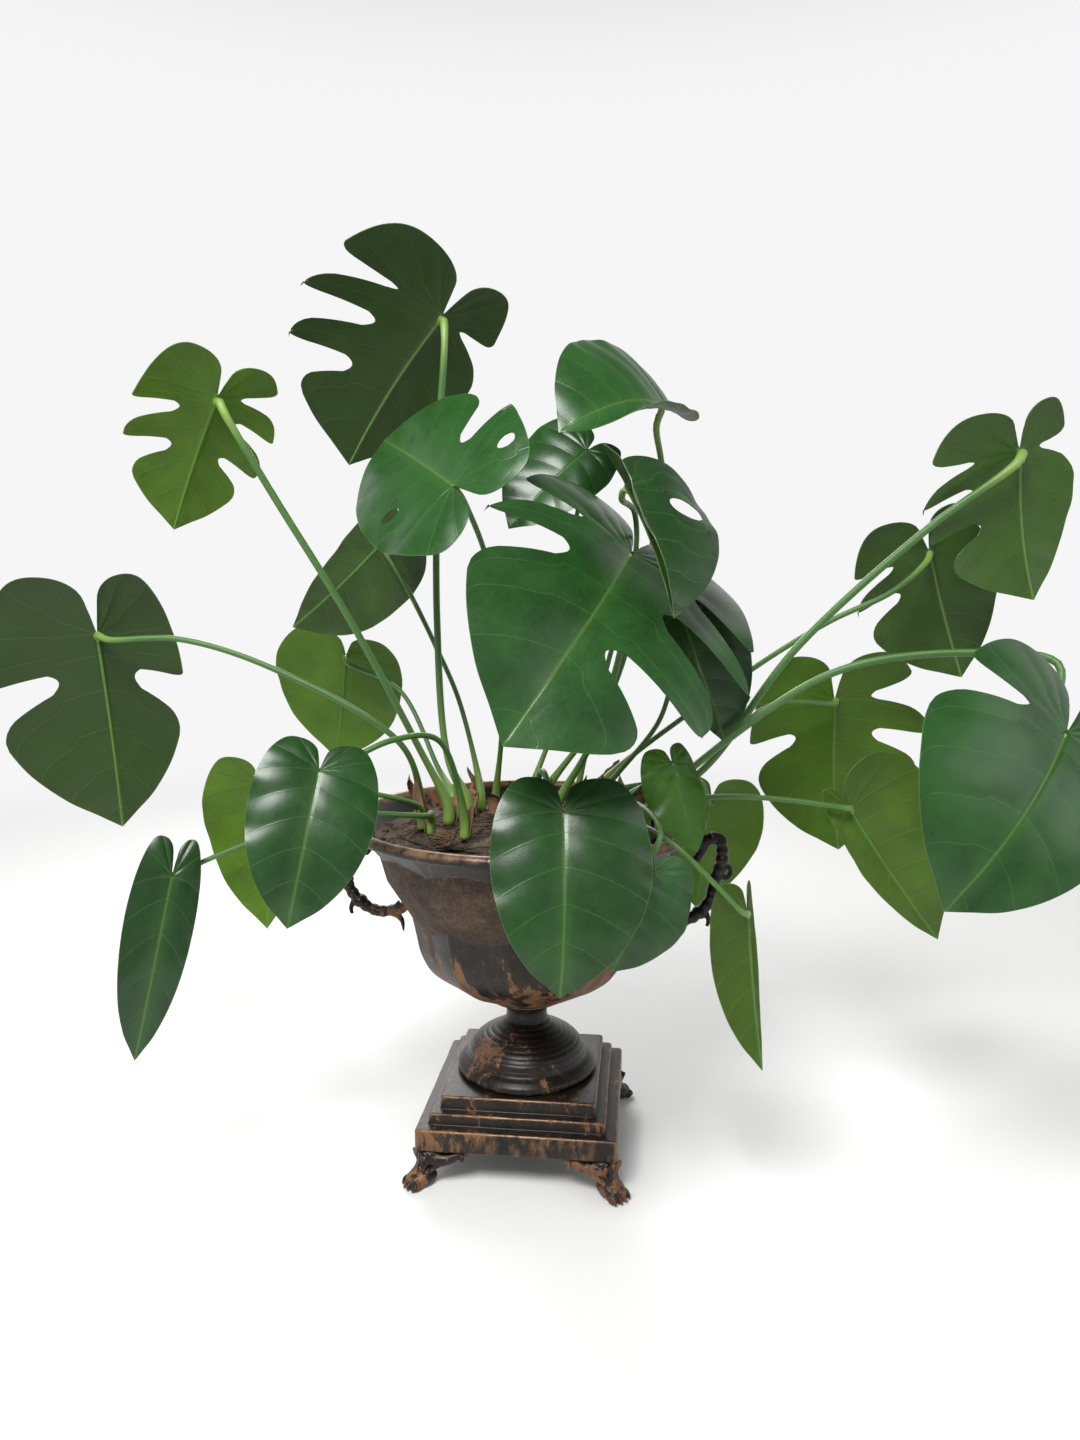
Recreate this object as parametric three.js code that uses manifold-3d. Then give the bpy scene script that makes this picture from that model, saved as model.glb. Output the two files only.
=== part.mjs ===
// A potted split-leaf plant standing in a cast garden urn on four paw feet.
// Millimetres, +Z up. The origin is on the floor under the middle of the urn; the handles lie along X.
import * as THREE from "three";
import { mergeVertices } from "three/addons/utils/BufferGeometryUtils.js";
import Module from "manifold-3d";

const wasm = await Module();
wasm.setup();

// Driving dimensions of the urn.
const FOOT_HEIGHT = 45;
const PLINTH_WALL = 6;
const TIERS = [
  { half: 120, thick: 26.5 },
  { half: 106, thick: 14 },
  { half: 94, thick: 16.5 },
];
const PEDESTAL_HEIGHT = 95.5;
const PEDESTAL_FOOT_RADIUS = 88;
const NECK_RADIUS = 25.5;
const COLLAR_RADIUS = 56;
const BOWL_HEIGHT = 235;
const BELLY_RADIUS = 139;
const RIM_RADIUS = 222;
const RIM_ROLL = 7;
const BOWL_WALL = 5;
const BOWL_FLOOR_THICK = 8;
const BOWL_PANELS = 12;
const PANEL_DEPTH = 5;
const SOIL_BELOW_RIM = 24;
const CROWN_HEIGHT = 16;
const CROWN_END_ROOM = 25;
const CROWN_SIDE_ROOM = 73;
const ROD_RADIUS = 6;
const ROD_END = 4;
const NUT_RADIUS = 14;
const NUT_HEIGHT = 10;
const PEDESTAL_WALL = 6;
const HANDLE_RADIUS = 8;
const HANDLE_REACH = 250;
const HANDLE_DROP = 118;
const HANDLE_CLEARANCE = 4;
const FOOT_WIDTH = 30;
const FOOT_INSET = 14;
const GAP = 0.3;
const RUNNING_GAP = 0.6;

// Driving dimensions of the plant. Its leaves are set out in a frame turned about Z from the urn's, and
// rise and fall with the rim.
const PLANT_TURN = 6.2;
const LEAF_DATUM = 433.1;
const ROOT_PLOT = [160, 112];
const BLADE_THICK = 1.2;
const STALK_SIDES = 6;
const STALK_STEPS = 9;
const KNEE_SHARE = 0.12;
const STALK_LIFT = 14;
const RIB_START = 0.42;
const BLADE_RIPPLE = 4;

// Heights that follow from the sizes above.
const PLINTH_TOP = FOOT_HEIGHT + TIERS.reduce((sum, tier) => sum + tier.thick, 0);
const BOWL_BASE = PLINTH_TOP + GAP + PEDESTAL_HEIGHT + GAP;
const RIM_TOP = BOWL_BASE + BOWL_HEIGHT;
const SOIL_TOP = RIM_TOP - SOIL_BELOW_RIM;
const CROWN_TOP = SOIL_TOP + GAP + CROWN_HEIGHT;
const BOWL_FLOOR = BOWL_BASE + BOWL_FLOOR_THICK;
const PLANT_LIFT = RIM_TOP - LEAF_DATUM;

const paint = (color, roughness, metalness) =>
  new THREE.MeshStandardMaterial({ color, roughness, metalness, side: THREE.DoubleSide });
const IRON = paint(0x2e251e, 0.5, 0.7);
const WORN_IRON = paint(0x4a3a2e, 0.42, 0.8);
const STEEL = paint(0x6c6a66, 0.4, 1);
const EARTH = paint(0x3d2c1f, 0.95, 0);
const ROOT = paint(0x5f4a30, 0.9, 0);
const GLOSSY_GREEN = paint(0x1d4d22, 0.35, 0);
const PALE_GREEN = paint(0x5f8f2a, 0.55, 0);
const STALK_GREEN = paint(0x4d7a2c, 0.5, 0);

const rad = THREE.MathUtils.degToRad;
const urn = new THREE.Group();
const plant = new THREE.Group();
plant.rotation.z = rad(PLANT_TURN);
plant.position.z = PLANT_LIFT;

function piece(name, geometry, material, group = urn) {
  const mesh = new THREE.Mesh(geometry, material);
  mesh.name = name;
  group.add(mesh);
  return mesh;
}

// Closed meshes joined or cut as solids.
function solid(geometry, matrix) {
  const bare = geometry.clone();
  bare.deleteAttribute("normal");
  bare.deleteAttribute("uv");
  if (matrix) bare.applyMatrix4(matrix);
  const merged = mergeVertices(bare, 1e-3);
  const vertProperties = merged.attributes.position.array;
  const triVerts = new Uint32Array(merged.index.array);
  return new wasm.Manifold(new wasm.Mesh({ numProp: 3, vertProperties, triVerts }));
}

function geometryOf(body) {
  const mesh = body.getMesh();
  const points = new Float32Array(mesh.numVert * 3);
  for (let i = 0; i < mesh.numVert; i++) {
    points.set(mesh.vertProperties.subarray(i * mesh.numProp, i * mesh.numProp + 3), i * 3);
  }
  const geometry = new THREE.BufferGeometry();
  geometry.setAttribute("position", new THREE.BufferAttribute(points, 3));
  geometry.setIndex(new THREE.BufferAttribute(mesh.triVerts, 1));
  return geometry;
}

// A turned piece from points [radius, height], given from the bottom up the outside.
function turned(profile, segments) {
  const geometry = new THREE.LatheGeometry(profile.map(([r, z]) => new THREE.Vector2(r, z)), segments);
  return geometry.rotateX(Math.PI / 2);
}

// Outside of the bowl from its collar out to the belly, then up and out to the rim.
function bowlOutside() {
  const h = (share) => BOWL_BASE + share * BOWL_HEIGHT;
  const low = (share) => COLLAR_RADIUS + share * (BELLY_RADIUS - COLLAR_RADIUS);
  const flare = (share) => BELLY_RADIUS + share * (RIM_RADIUS - BELLY_RADIUS);
  return [
    [COLLAR_RADIUS - 10, h(0)],
    [COLLAR_RADIUS, h(0.012)],
    [COLLAR_RADIUS, h(0.035)],
    [low(0.29), h(0.06)],
    [low(0.58), h(0.12)],
    [low(0.84), h(0.2)],
    [low(1), h(0.31)],
    [flare(0.07), h(0.42)],
    [flare(0.15), h(0.54)],
    [flare(0.29), h(0.67)],
    [flare(0.52), h(0.81)],
    [flare(0.8), h(0.93)],
  ];
}

function bowlInside(clearance = 0) {
  const floor = BOWL_FLOOR + clearance;
  const wall = BOWL_WALL + PANEL_DEPTH + clearance;
  const risen = bowlOutside().slice(4).map(([r, z]) => [r - wall, z + 0.5 * clearance]);
  return [[COLLAR_RADIUS - 4 - clearance, floor], ...risen];
}

// Urn bowl: a flared shell of flat panels with a rolled rim, and a hole for the tie rod.
function bowl() {
  const hole = ROD_RADIUS + RUNNING_GAP;
  const rimZ = RIM_TOP - RIM_ROLL;
  const roll = [];
  for (let a = -75; a <= 165; a += 40) {
    roll.push([RIM_RADIUS - RIM_ROLL + RIM_ROLL * Math.cos(rad(a)), rimZ + RIM_ROLL * Math.sin(rad(a))]);
  }
  const inside = bowlInside().reverse();
  const foot = [hole, BOWL_BASE];
  const ring = [foot, ...bowlOutside(), ...roll, ...inside, [hole, BOWL_FLOOR], foot];
  const geometry = turned(ring, 3 * BOWL_PANELS);
  const at = geometry.attributes.position;
  const lowest = BOWL_BASE + 0.05 * BOWL_HEIGHT;
  const highest = BOWL_BASE + 0.9 * BOWL_HEIGHT;
  const outer = bowlOutside().length + 1;
  for (let i = 0; i < at.count; i++) {
    const z = at.getZ(i);
    const onOutside = i % ring.length < outer;
    if (!onOutside || z < lowest || z > highest) continue;
    const turn = Math.atan2(at.getY(i), at.getX(i)) * BOWL_PANELS / 2;
    const share = 1 - PANEL_DEPTH * Math.abs(Math.sin(turn)) / Math.hypot(at.getX(i), at.getY(i));
    at.setX(i, at.getX(i) * share);
    at.setY(i, at.getY(i) * share);
  }
  return geometry;
}

// Hollow turned pedestal between plinth and bowl, with stepped rings below its neck.
function pedestal() {
  const z = (share) => PLINTH_TOP + GAP + share * PEDESTAL_HEIGHT;
  const foot = PEDESTAL_FOOT_RADIUS;
  const outside = [
    [foot - 3, z(0)],
    [foot, z(0.04)],
    [foot - 1, z(0.11)],
    [foot - 6, z(0.16)],
    [foot - 13, z(0.2)],
    [foot - 14, z(0.28)],
    [foot - 19, z(0.35)],
    [foot - 23, z(0.41)],
    [foot - 34, z(0.47)],
    [foot - 44, z(0.53)],
    [NECK_RADIUS + 8, z(0.59)],
    [NECK_RADIUS, z(0.67)],
    [NECK_RADIUS + 1, z(0.82)],
    [NECK_RADIUS + 10, z(0.9)],
    [COLLAR_RADIUS - 8, z(0.96)],
    [COLLAR_RADIUS - 8, z(1)],
  ];
  const bore = ROD_RADIUS + RUNNING_GAP;
  const hollow = [[foot - 42 - PEDESTAL_WALL, z(0.42)], [foot - 8 - PEDESTAL_WALL, z(0)]];
  const inside = [[bore, z(1)], [bore, z(0.62)], ...hollow];
  return turned([...outside, ...inside, outside[0]], 32);
}

// Square plinth of three steps, open below, with a hole for the tie rod through its top.
function plinth() {
  let z = FOOT_HEIGHT;
  let body = null;
  let inner = null;
  for (const tier of TIERS) {
    const block = new THREE.BoxGeometry(2 * tier.half, 2 * tier.half, tier.thick);
    const place = new THREE.Matrix4().makeTranslation(0, 0, z + tier.thick / 2);
    const wide = 2 * (tier.half - PLINTH_WALL);
    const room = new THREE.BoxGeometry(wide, wide, tier.thick + 0.02);
    const drop = new THREE.Matrix4().makeTranslation(0, 0, z + tier.thick / 2 - PLINTH_WALL);
    body = body ? body.add(solid(block, place)) : solid(block, place);
    inner = inner ? inner.add(solid(room, drop)) : solid(room, drop);
    z += tier.thick;
  }
  const bore = ROD_RADIUS + RUNNING_GAP;
  const drill = new THREE.CylinderGeometry(bore, bore, 4 * PLINTH_WALL, 16);
  const upright = new THREE.Matrix4().makeRotationX(Math.PI / 2).setPosition(0, 0, PLINTH_TOP);
  return geometryOf(body.subtract(inner).subtract(solid(drill, upright)));
}

// Paw foot: a scrolled bracket under the plinth's corner, splayed out to a toed sole.
function pawFoot(corner) {
  const h = FOOT_HEIGHT - GAP;
  const side = new THREE.Shape();
  side.moveTo(-52, h);
  side.lineTo(-50, h - 7);
  side.bezierCurveTo(-26, h - 9, -14, h - 14, -8, 14);
  side.lineTo(-6, 0);
  side.lineTo(30, 0);
  side.bezierCurveTo(33, 8, 28, 14, 19, 16);
  side.bezierCurveTo(12, 22, 10, h - 12, 12, h);
  const depth = FOOT_WIDTH;
  const geometry = new THREE.ExtrudeGeometry(side, { depth, bevelEnabled: false, curveSegments: 4 });
  geometry.translate(0, 0, -FOOT_WIDTH / 2);
  geometry.rotateX(Math.PI / 2);
  const out = (TIERS[0].half - FOOT_INSET) * Math.SQRT2;
  geometry.translate(out, 0, 0);
  return geometry.rotateZ(rad(45 + 90 * corner));
}

// A tube of flat-sided section along a smooth curve through points.
function tube(points, radius, sides, steps) {
  const path = new THREE.CatmullRomCurve3(points.map((p) => new THREE.Vector3(...p)), false, "centripetal");
  const section = new THREE.Shape();
  for (let i = 0; i < sides; i++) {
    const a = (2 * Math.PI * i) / sides;
    if (i) section.lineTo(radius * Math.cos(a), radius * Math.sin(a));
    else section.moveTo(radius, 0);
  }
  return new THREE.ExtrudeGeometry(section, { steps, extrudePath: path, curveSegments: 1 });
}

// Rustic branch handle from under the rim, out and down to the flank of the bowl.
function handle(hand) {
  const under = RIM_TOP - 2 * RIM_ROLL - HANDLE_RADIUS - HANDLE_CLEARANCE;
  const [waist, shoulder] = [bowlOutside()[8][0], bowlOutside()[11][0]];
  const flank = waist + HANDLE_RADIUS + RUNNING_GAP;
  const rimSide = shoulder + HANDLE_RADIUS + HANDLE_CLEARANCE;
  const points = [
    [rimSide, 0, under - 6],
    [0.5 * (rimSide + HANDLE_REACH) + 4, 0, under + 1],
    [HANDLE_REACH - HANDLE_RADIUS, 0, under - 0.22 * HANDLE_DROP],
    [HANDLE_REACH - HANDLE_RADIUS - 8, 0, under - 0.6 * HANDLE_DROP],
    [0.5 * (flank + HANDLE_REACH) - 6, 0, under - 0.92 * HANDLE_DROP],
    [flank, 0, under - 0.86 * HANDLE_DROP],
  ];
  return tube(points.map(([x, y, z]) => [hand * x, y, z]), HANDLE_RADIUS, 8, 16);
}

// Tie rod through bowl, pedestal and plinth, with a nut at each end.
function tieRod() {
  const low = PLINTH_TOP - PLINTH_WALL - GAP;
  const high = BOWL_FLOOR + GAP;
  const profile = [
    [0, low - NUT_HEIGHT - ROD_END],
    [ROD_RADIUS, low - NUT_HEIGHT - ROD_END],
    [ROD_RADIUS, low - NUT_HEIGHT],
    [NUT_RADIUS, low - NUT_HEIGHT],
    [NUT_RADIUS, low],
    [ROD_RADIUS, low],
    [ROD_RADIUS, high],
    [NUT_RADIUS, high],
    [NUT_RADIUS, high + NUT_HEIGHT],
    [ROD_RADIUS, high + NUT_HEIGHT],
    [ROD_RADIUS, high + NUT_HEIGHT + ROD_END],
    [0, high + NUT_HEIGHT + ROD_END],
  ];
  return turned(profile, 12);
}

// Wall of the soil below its surface, and the radius of the surface.
function soilWall() {
  const inside = bowlInside(2 * GAP);
  const wall = inside.filter(([, z]) => z < SOIL_TOP - 4);
  const [lowR, lowZ] = wall[wall.length - 1];
  const [highR, highZ] = inside.find(([, z]) => z >= SOIL_TOP - 4);
  return { wall, brink: lowR + ((highR - lowR) * (SOIL_TOP - lowZ)) / (highZ - lowZ) };
}

// Potting soil: it fills the bowl from the floor up and leaves a pocket round the upper nut.
function soil() {
  const pocket = BOWL_FLOOR + NUT_HEIGHT + ROD_END + 3 * GAP;
  const { wall, brink } = soilWall();
  const profile = [
    [0, pocket],
    [NUT_RADIUS + GAP, pocket],
    [NUT_RADIUS + GAP, BOWL_FLOOR + GAP],
    ...wall,
    [brink, SOIL_TOP],
    [0, SOIL_TOP],
  ];
  return turned(profile, 24);
}

// Half length and half width of the crown, which keeps clear of the bowl.
function crownReach() {
  const { brink } = soilWall();
  return [brink - CROWN_END_ROOM, brink - CROWN_SIDE_ROOM];
}

// Flat crown of roots and husks that the stalks grow from.
function crown() {
  const dome = [[0, 0], [1, 0], [0.94, CROWN_HEIGHT * 0.7], [0.84, CROWN_HEIGHT], [0, CROWN_HEIGHT]];
  const geometry = turned(dome, 20);
  geometry.scale(...crownReach(), 1);
  return geometry.translate(0, 0, SOIL_TOP + GAP);
}

// Half of a heart-shaped blade's outline, stalk joint at 0 and tip at 1, from the sinus to the tip.
const OUTLINE = new THREE.SplineCurve(
  [
    [-0.02, 0.015],
    [-0.14, 0.05],
    [-0.19, 0.18],
    [-0.17, 0.34],
    [-0.02, 0.47],
    [0.2, 0.52],
    [0.44, 0.49],
    [0.66, 0.39],
    [0.83, 0.24],
    [0.93, 0.1],
    [1, 0],
  ].map(([x, y]) => new THREE.Vector2(x, y)),
);
const WIDEST = 0.52;
const HEART_LOBE = 0.19;

// Flat blade point: t runs along the margin from sinus to tip, q from midrib to margin along a rib.
function ribPoint(t, q, half, lobe) {
  const edge = OUTLINE.getPointAt(Math.min(1, Math.max(0, t)));
  const ex = edge.x < 0 ? (edge.x * lobe) / HEART_LOBE : edge.x;
  const ey = (edge.y * half) / WIDEST;
  const fan = t < RIB_START;
  const start = fan ? 0 : Math.pow((t - RIB_START) / (1 - RIB_START), 1.1);
  const midX = fan ? 0.5 * ex - 0.02 : start + 0.3 * (ex - start);
  const midY = 0.58 * ey;
  const away = 2 * q * (1 - q);
  return [(1 - q) ** 2 * start + away * midX + q * q * ex, away * midY + q * q * ey];
}

// Straight up to `start`, then a circular bend of `rate` radians per millimetre.
function bend(length, start, rate) {
  if (Math.abs(rate) < 1e-9) return [length, 0];
  const past = Math.max(0, length - start);
  return [Math.min(length, start) + Math.sin(rate * past) / rate, (1 - Math.cos(rate * past)) / rate];
}

// Bends a flat blade point: halves fold up along the midrib and curl to their margins, the tip droops.
function shaped(x, y, side, leaf) {
  const which = side > 0 ? 0 : 1;
  const half = leaf.half[which] * leaf.long;
  const fold = rad(leaf.fold[which]);
  const flatPart = 0.15 * half;
  const [across, rise] = bend(y * leaf.long, flatPart, rad(leaf.curl[which]) / (half - flatPart));
  const out = across * Math.cos(fold) - rise * Math.sin(fold);
  const wave = Math.sin((x + 0.3) * 9 + side);
  const ripple = BLADE_RIPPLE * wave * Math.min(1, y / leaf.half[which]) ** 2;
  const up = across * Math.sin(fold) + rise * Math.cos(fold) + ripple;
  const along = x * leaf.long;
  const hold = 0.1 * leaf.long;
  const rate = along < 0 ? rad(leaf.hang) / (0.3 * leaf.long) : rad(leaf.droop) / (leaf.long - hold);
  const [run, dip] = along < 0 ? bend(-along, 0, rate) : bend(along, hold, rate);
  const slope = along < 0 ? rate * along : rate * Math.max(0, along - hold);
  const axial = along < 0 ? -run : run;
  return [axial + up * Math.sin(slope), side * out, up * Math.cos(slope) - dip];
}

// Half width of a slit at rib share q; a slit with its far end under 1 is a closed hole.
function slitWidth(q, [, inner, outer, gap]) {
  if (q <= inner + 1e-6 || (outer < 1 && q >= outer - 1e-6)) return 0;
  if (outer < 1) return gap * Math.sqrt(1 - ((2 * (q - inner)) / (outer - inner) - 1) ** 2);
  return gap * (0.35 + (0.65 * (q - inner)) / (1 - inner));
}

// Flat triangles of one half blade, cut into lobes by its slits.
function halfTriangles(leaf, side, rows) {
  const which = side > 0 ? 0 : 1;
  const slits = leaf.slits[which];
  const stops = new Set([0, 0.5, 1]);
  for (const [, inner, outer] of slits) {
    stops.add(inner);
    stops.add(outer);
    if (outer < 1) stops.add((inner + outer) / 2);
  }
  const sorted = [...stops].sort((a, b) => a - b);
  const shares = sorted.filter((q, i) => !i || q - sorted[i - 1] > 0.07 || q === 1);
  // Both halves break their rows at every slit of either, so that they meet along the midrib.
  const breaks = [...new Set([0, 1, ...leaf.slits.flat().map(([at]) => at)])].sort((a, b) => a - b);
  const triangles = [];
  for (let lobe = 0; lobe + 1 < breaks.length; lobe++) {
    const [from, to] = [breaks[lobe], breaks[lobe + 1]];
    const low = slits.find(([at]) => at === from);
    const high = slits.find(([at]) => at === to);
    const count = Math.max(1, Math.round((to - from) * rows));
    const grid = shares.map((q) => {
      const begin = from + (low ? slitWidth(q, low) : 0);
      const end = to - (high ? slitWidth(q, high) : 0);
      return Array.from({ length: count + 1 }, (_, i) => {
        return ribPoint(begin + ((end - begin) * i) / count, q, leaf.half[which], leaf.lobe);
      });
    });
    for (let j = 0; j + 1 < shares.length; j++) {
      for (let i = 0; i < count; i++) {
        const [a, b, c, d] = [grid[j][i], grid[j][i + 1], grid[j + 1][i + 1], grid[j + 1][i]];
        const pair = [[a, d, c], [a, c, b]];
        for (const corners of pair) triangles.push(side > 0 ? [...corners].reverse() : corners);
      }
    }
  }
  return triangles;
}

// Closed thin solid of a whole blade in its own frame: midrib along +x, upper face +z.
function bladeGeometry(leaf) {
  const rows = leaf.slits[0].length + leaf.slits[1].length ? 12 : 9;
  const points = [];
  const index = new Map();
  const faces = [];
  for (const side of [1, -1]) {
    for (const corners of halfTriangles(leaf, side, rows)) {
      const face = corners.map(([x, y]) => {
        const key = `${Math.round(x * 1e5)} ${Math.round(side * y * 1e5)}`;
        if (!index.has(key)) {
          index.set(key, points.length);
          points.push(new THREE.Vector3(...shaped(x, y, side, leaf)));
        }
        return index.get(key);
      });
      if (new Set(face).size === 3) faces.push(face);
    }
  }
  const normals = points.map(() => new THREE.Vector3());
  const edges = new Map();
  for (const [a, b, c] of faces) {
    const normal = points[b].clone().sub(points[a]).cross(points[c].clone().sub(points[a]));
    for (const i of [a, b, c]) normals[i].add(normal);
    for (const [i, j] of [[a, b], [b, c], [c, a]]) edges.set(`${i} ${j}`, [i, j]);
  }
  const rim = [...edges.values()].filter(([i, j]) => !edges.has(`${j} ${i}`));
  const upper = points.map((p, i) => p.clone().addScaledVector(normals[i].normalize(), BLADE_THICK / 2));
  const lower = points.map((p, i) => p.clone().addScaledVector(normals[i], -BLADE_THICK / 2));
  const n = points.length;
  const triangles = [];
  for (const [a, b, c] of faces) triangles.push(a, b, c, a + n, c + n, b + n);
  for (const [a, b] of rim) triangles.push(b, a, a + n, b, a + n, b + n);
  const geometry = new THREE.BufferGeometry().setFromPoints([...upper, ...lower]);
  geometry.setIndex(triangles);
  return geometry;
}

// The leaf's own frame in the plant's: heading about Z, pitch up, then roll about the midrib.
function leafMatrix(leaf) {
  const [heading, pitch, roll] = leaf.turn.map(rad);
  const flat = Math.cos(pitch);
  const forward = new THREE.Vector3(Math.cos(heading) * flat, Math.sin(heading) * flat, Math.sin(pitch));
  const level = new THREE.Vector3(-Math.sin(heading), Math.cos(heading), 0);
  const raised = forward.clone().cross(level);
  const across = level.clone().multiplyScalar(Math.cos(roll)).addScaledVector(raised, Math.sin(roll));
  const matrix = new THREE.Matrix4().makeBasis(forward, across, forward.clone().cross(across));
  return matrix.setPosition(...leaf.at);
}

// The stalk rises from the crown through its way points and meets the blade's underside at the knee.
function stalkGeometry(leaf) {
  const matrix = leafMatrix(leaf);
  const up = new THREE.Vector3().setFromMatrixColumn(matrix, 2);
  const joint = new THREE.Vector3(...leaf.at);
  const last = new THREE.Vector3(...leaf.by[leaf.by.length - 1]);
  const reach = KNEE_SHARE * leaf.long;
  const aside = last.clone().sub(joint).normalize();
  const knee = joint.clone().addScaledVector(up, -0.7 * reach).addScaledVector(aside, 0.6 * reach);
  const end = joint.clone().addScaledVector(up, -(BLADE_THICK / 2 + GAP + 0.75 * leaf.stalk));
  const ground = CROWN_TOP - PLANT_LIFT;
  const root = crownReach().map((reach, axis) => (leaf.root[axis] * reach) / ROOT_PLOT[axis]);
  const base = [...root, ground + RUNNING_GAP];
  const lift = [...root, ground + STALK_LIFT];
  const way = [base, lift, ...leaf.by, knee.toArray(), end.toArray()];
  return tube(way, leaf.stalk, STALK_SIDES, STALK_STEPS);
}

const LEAF_DEFAULTS = { lobe: 0.2, fold: [8, 8], curl: [-25, -25], droop: 20, hang: 20, slits: [[], []] };
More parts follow.
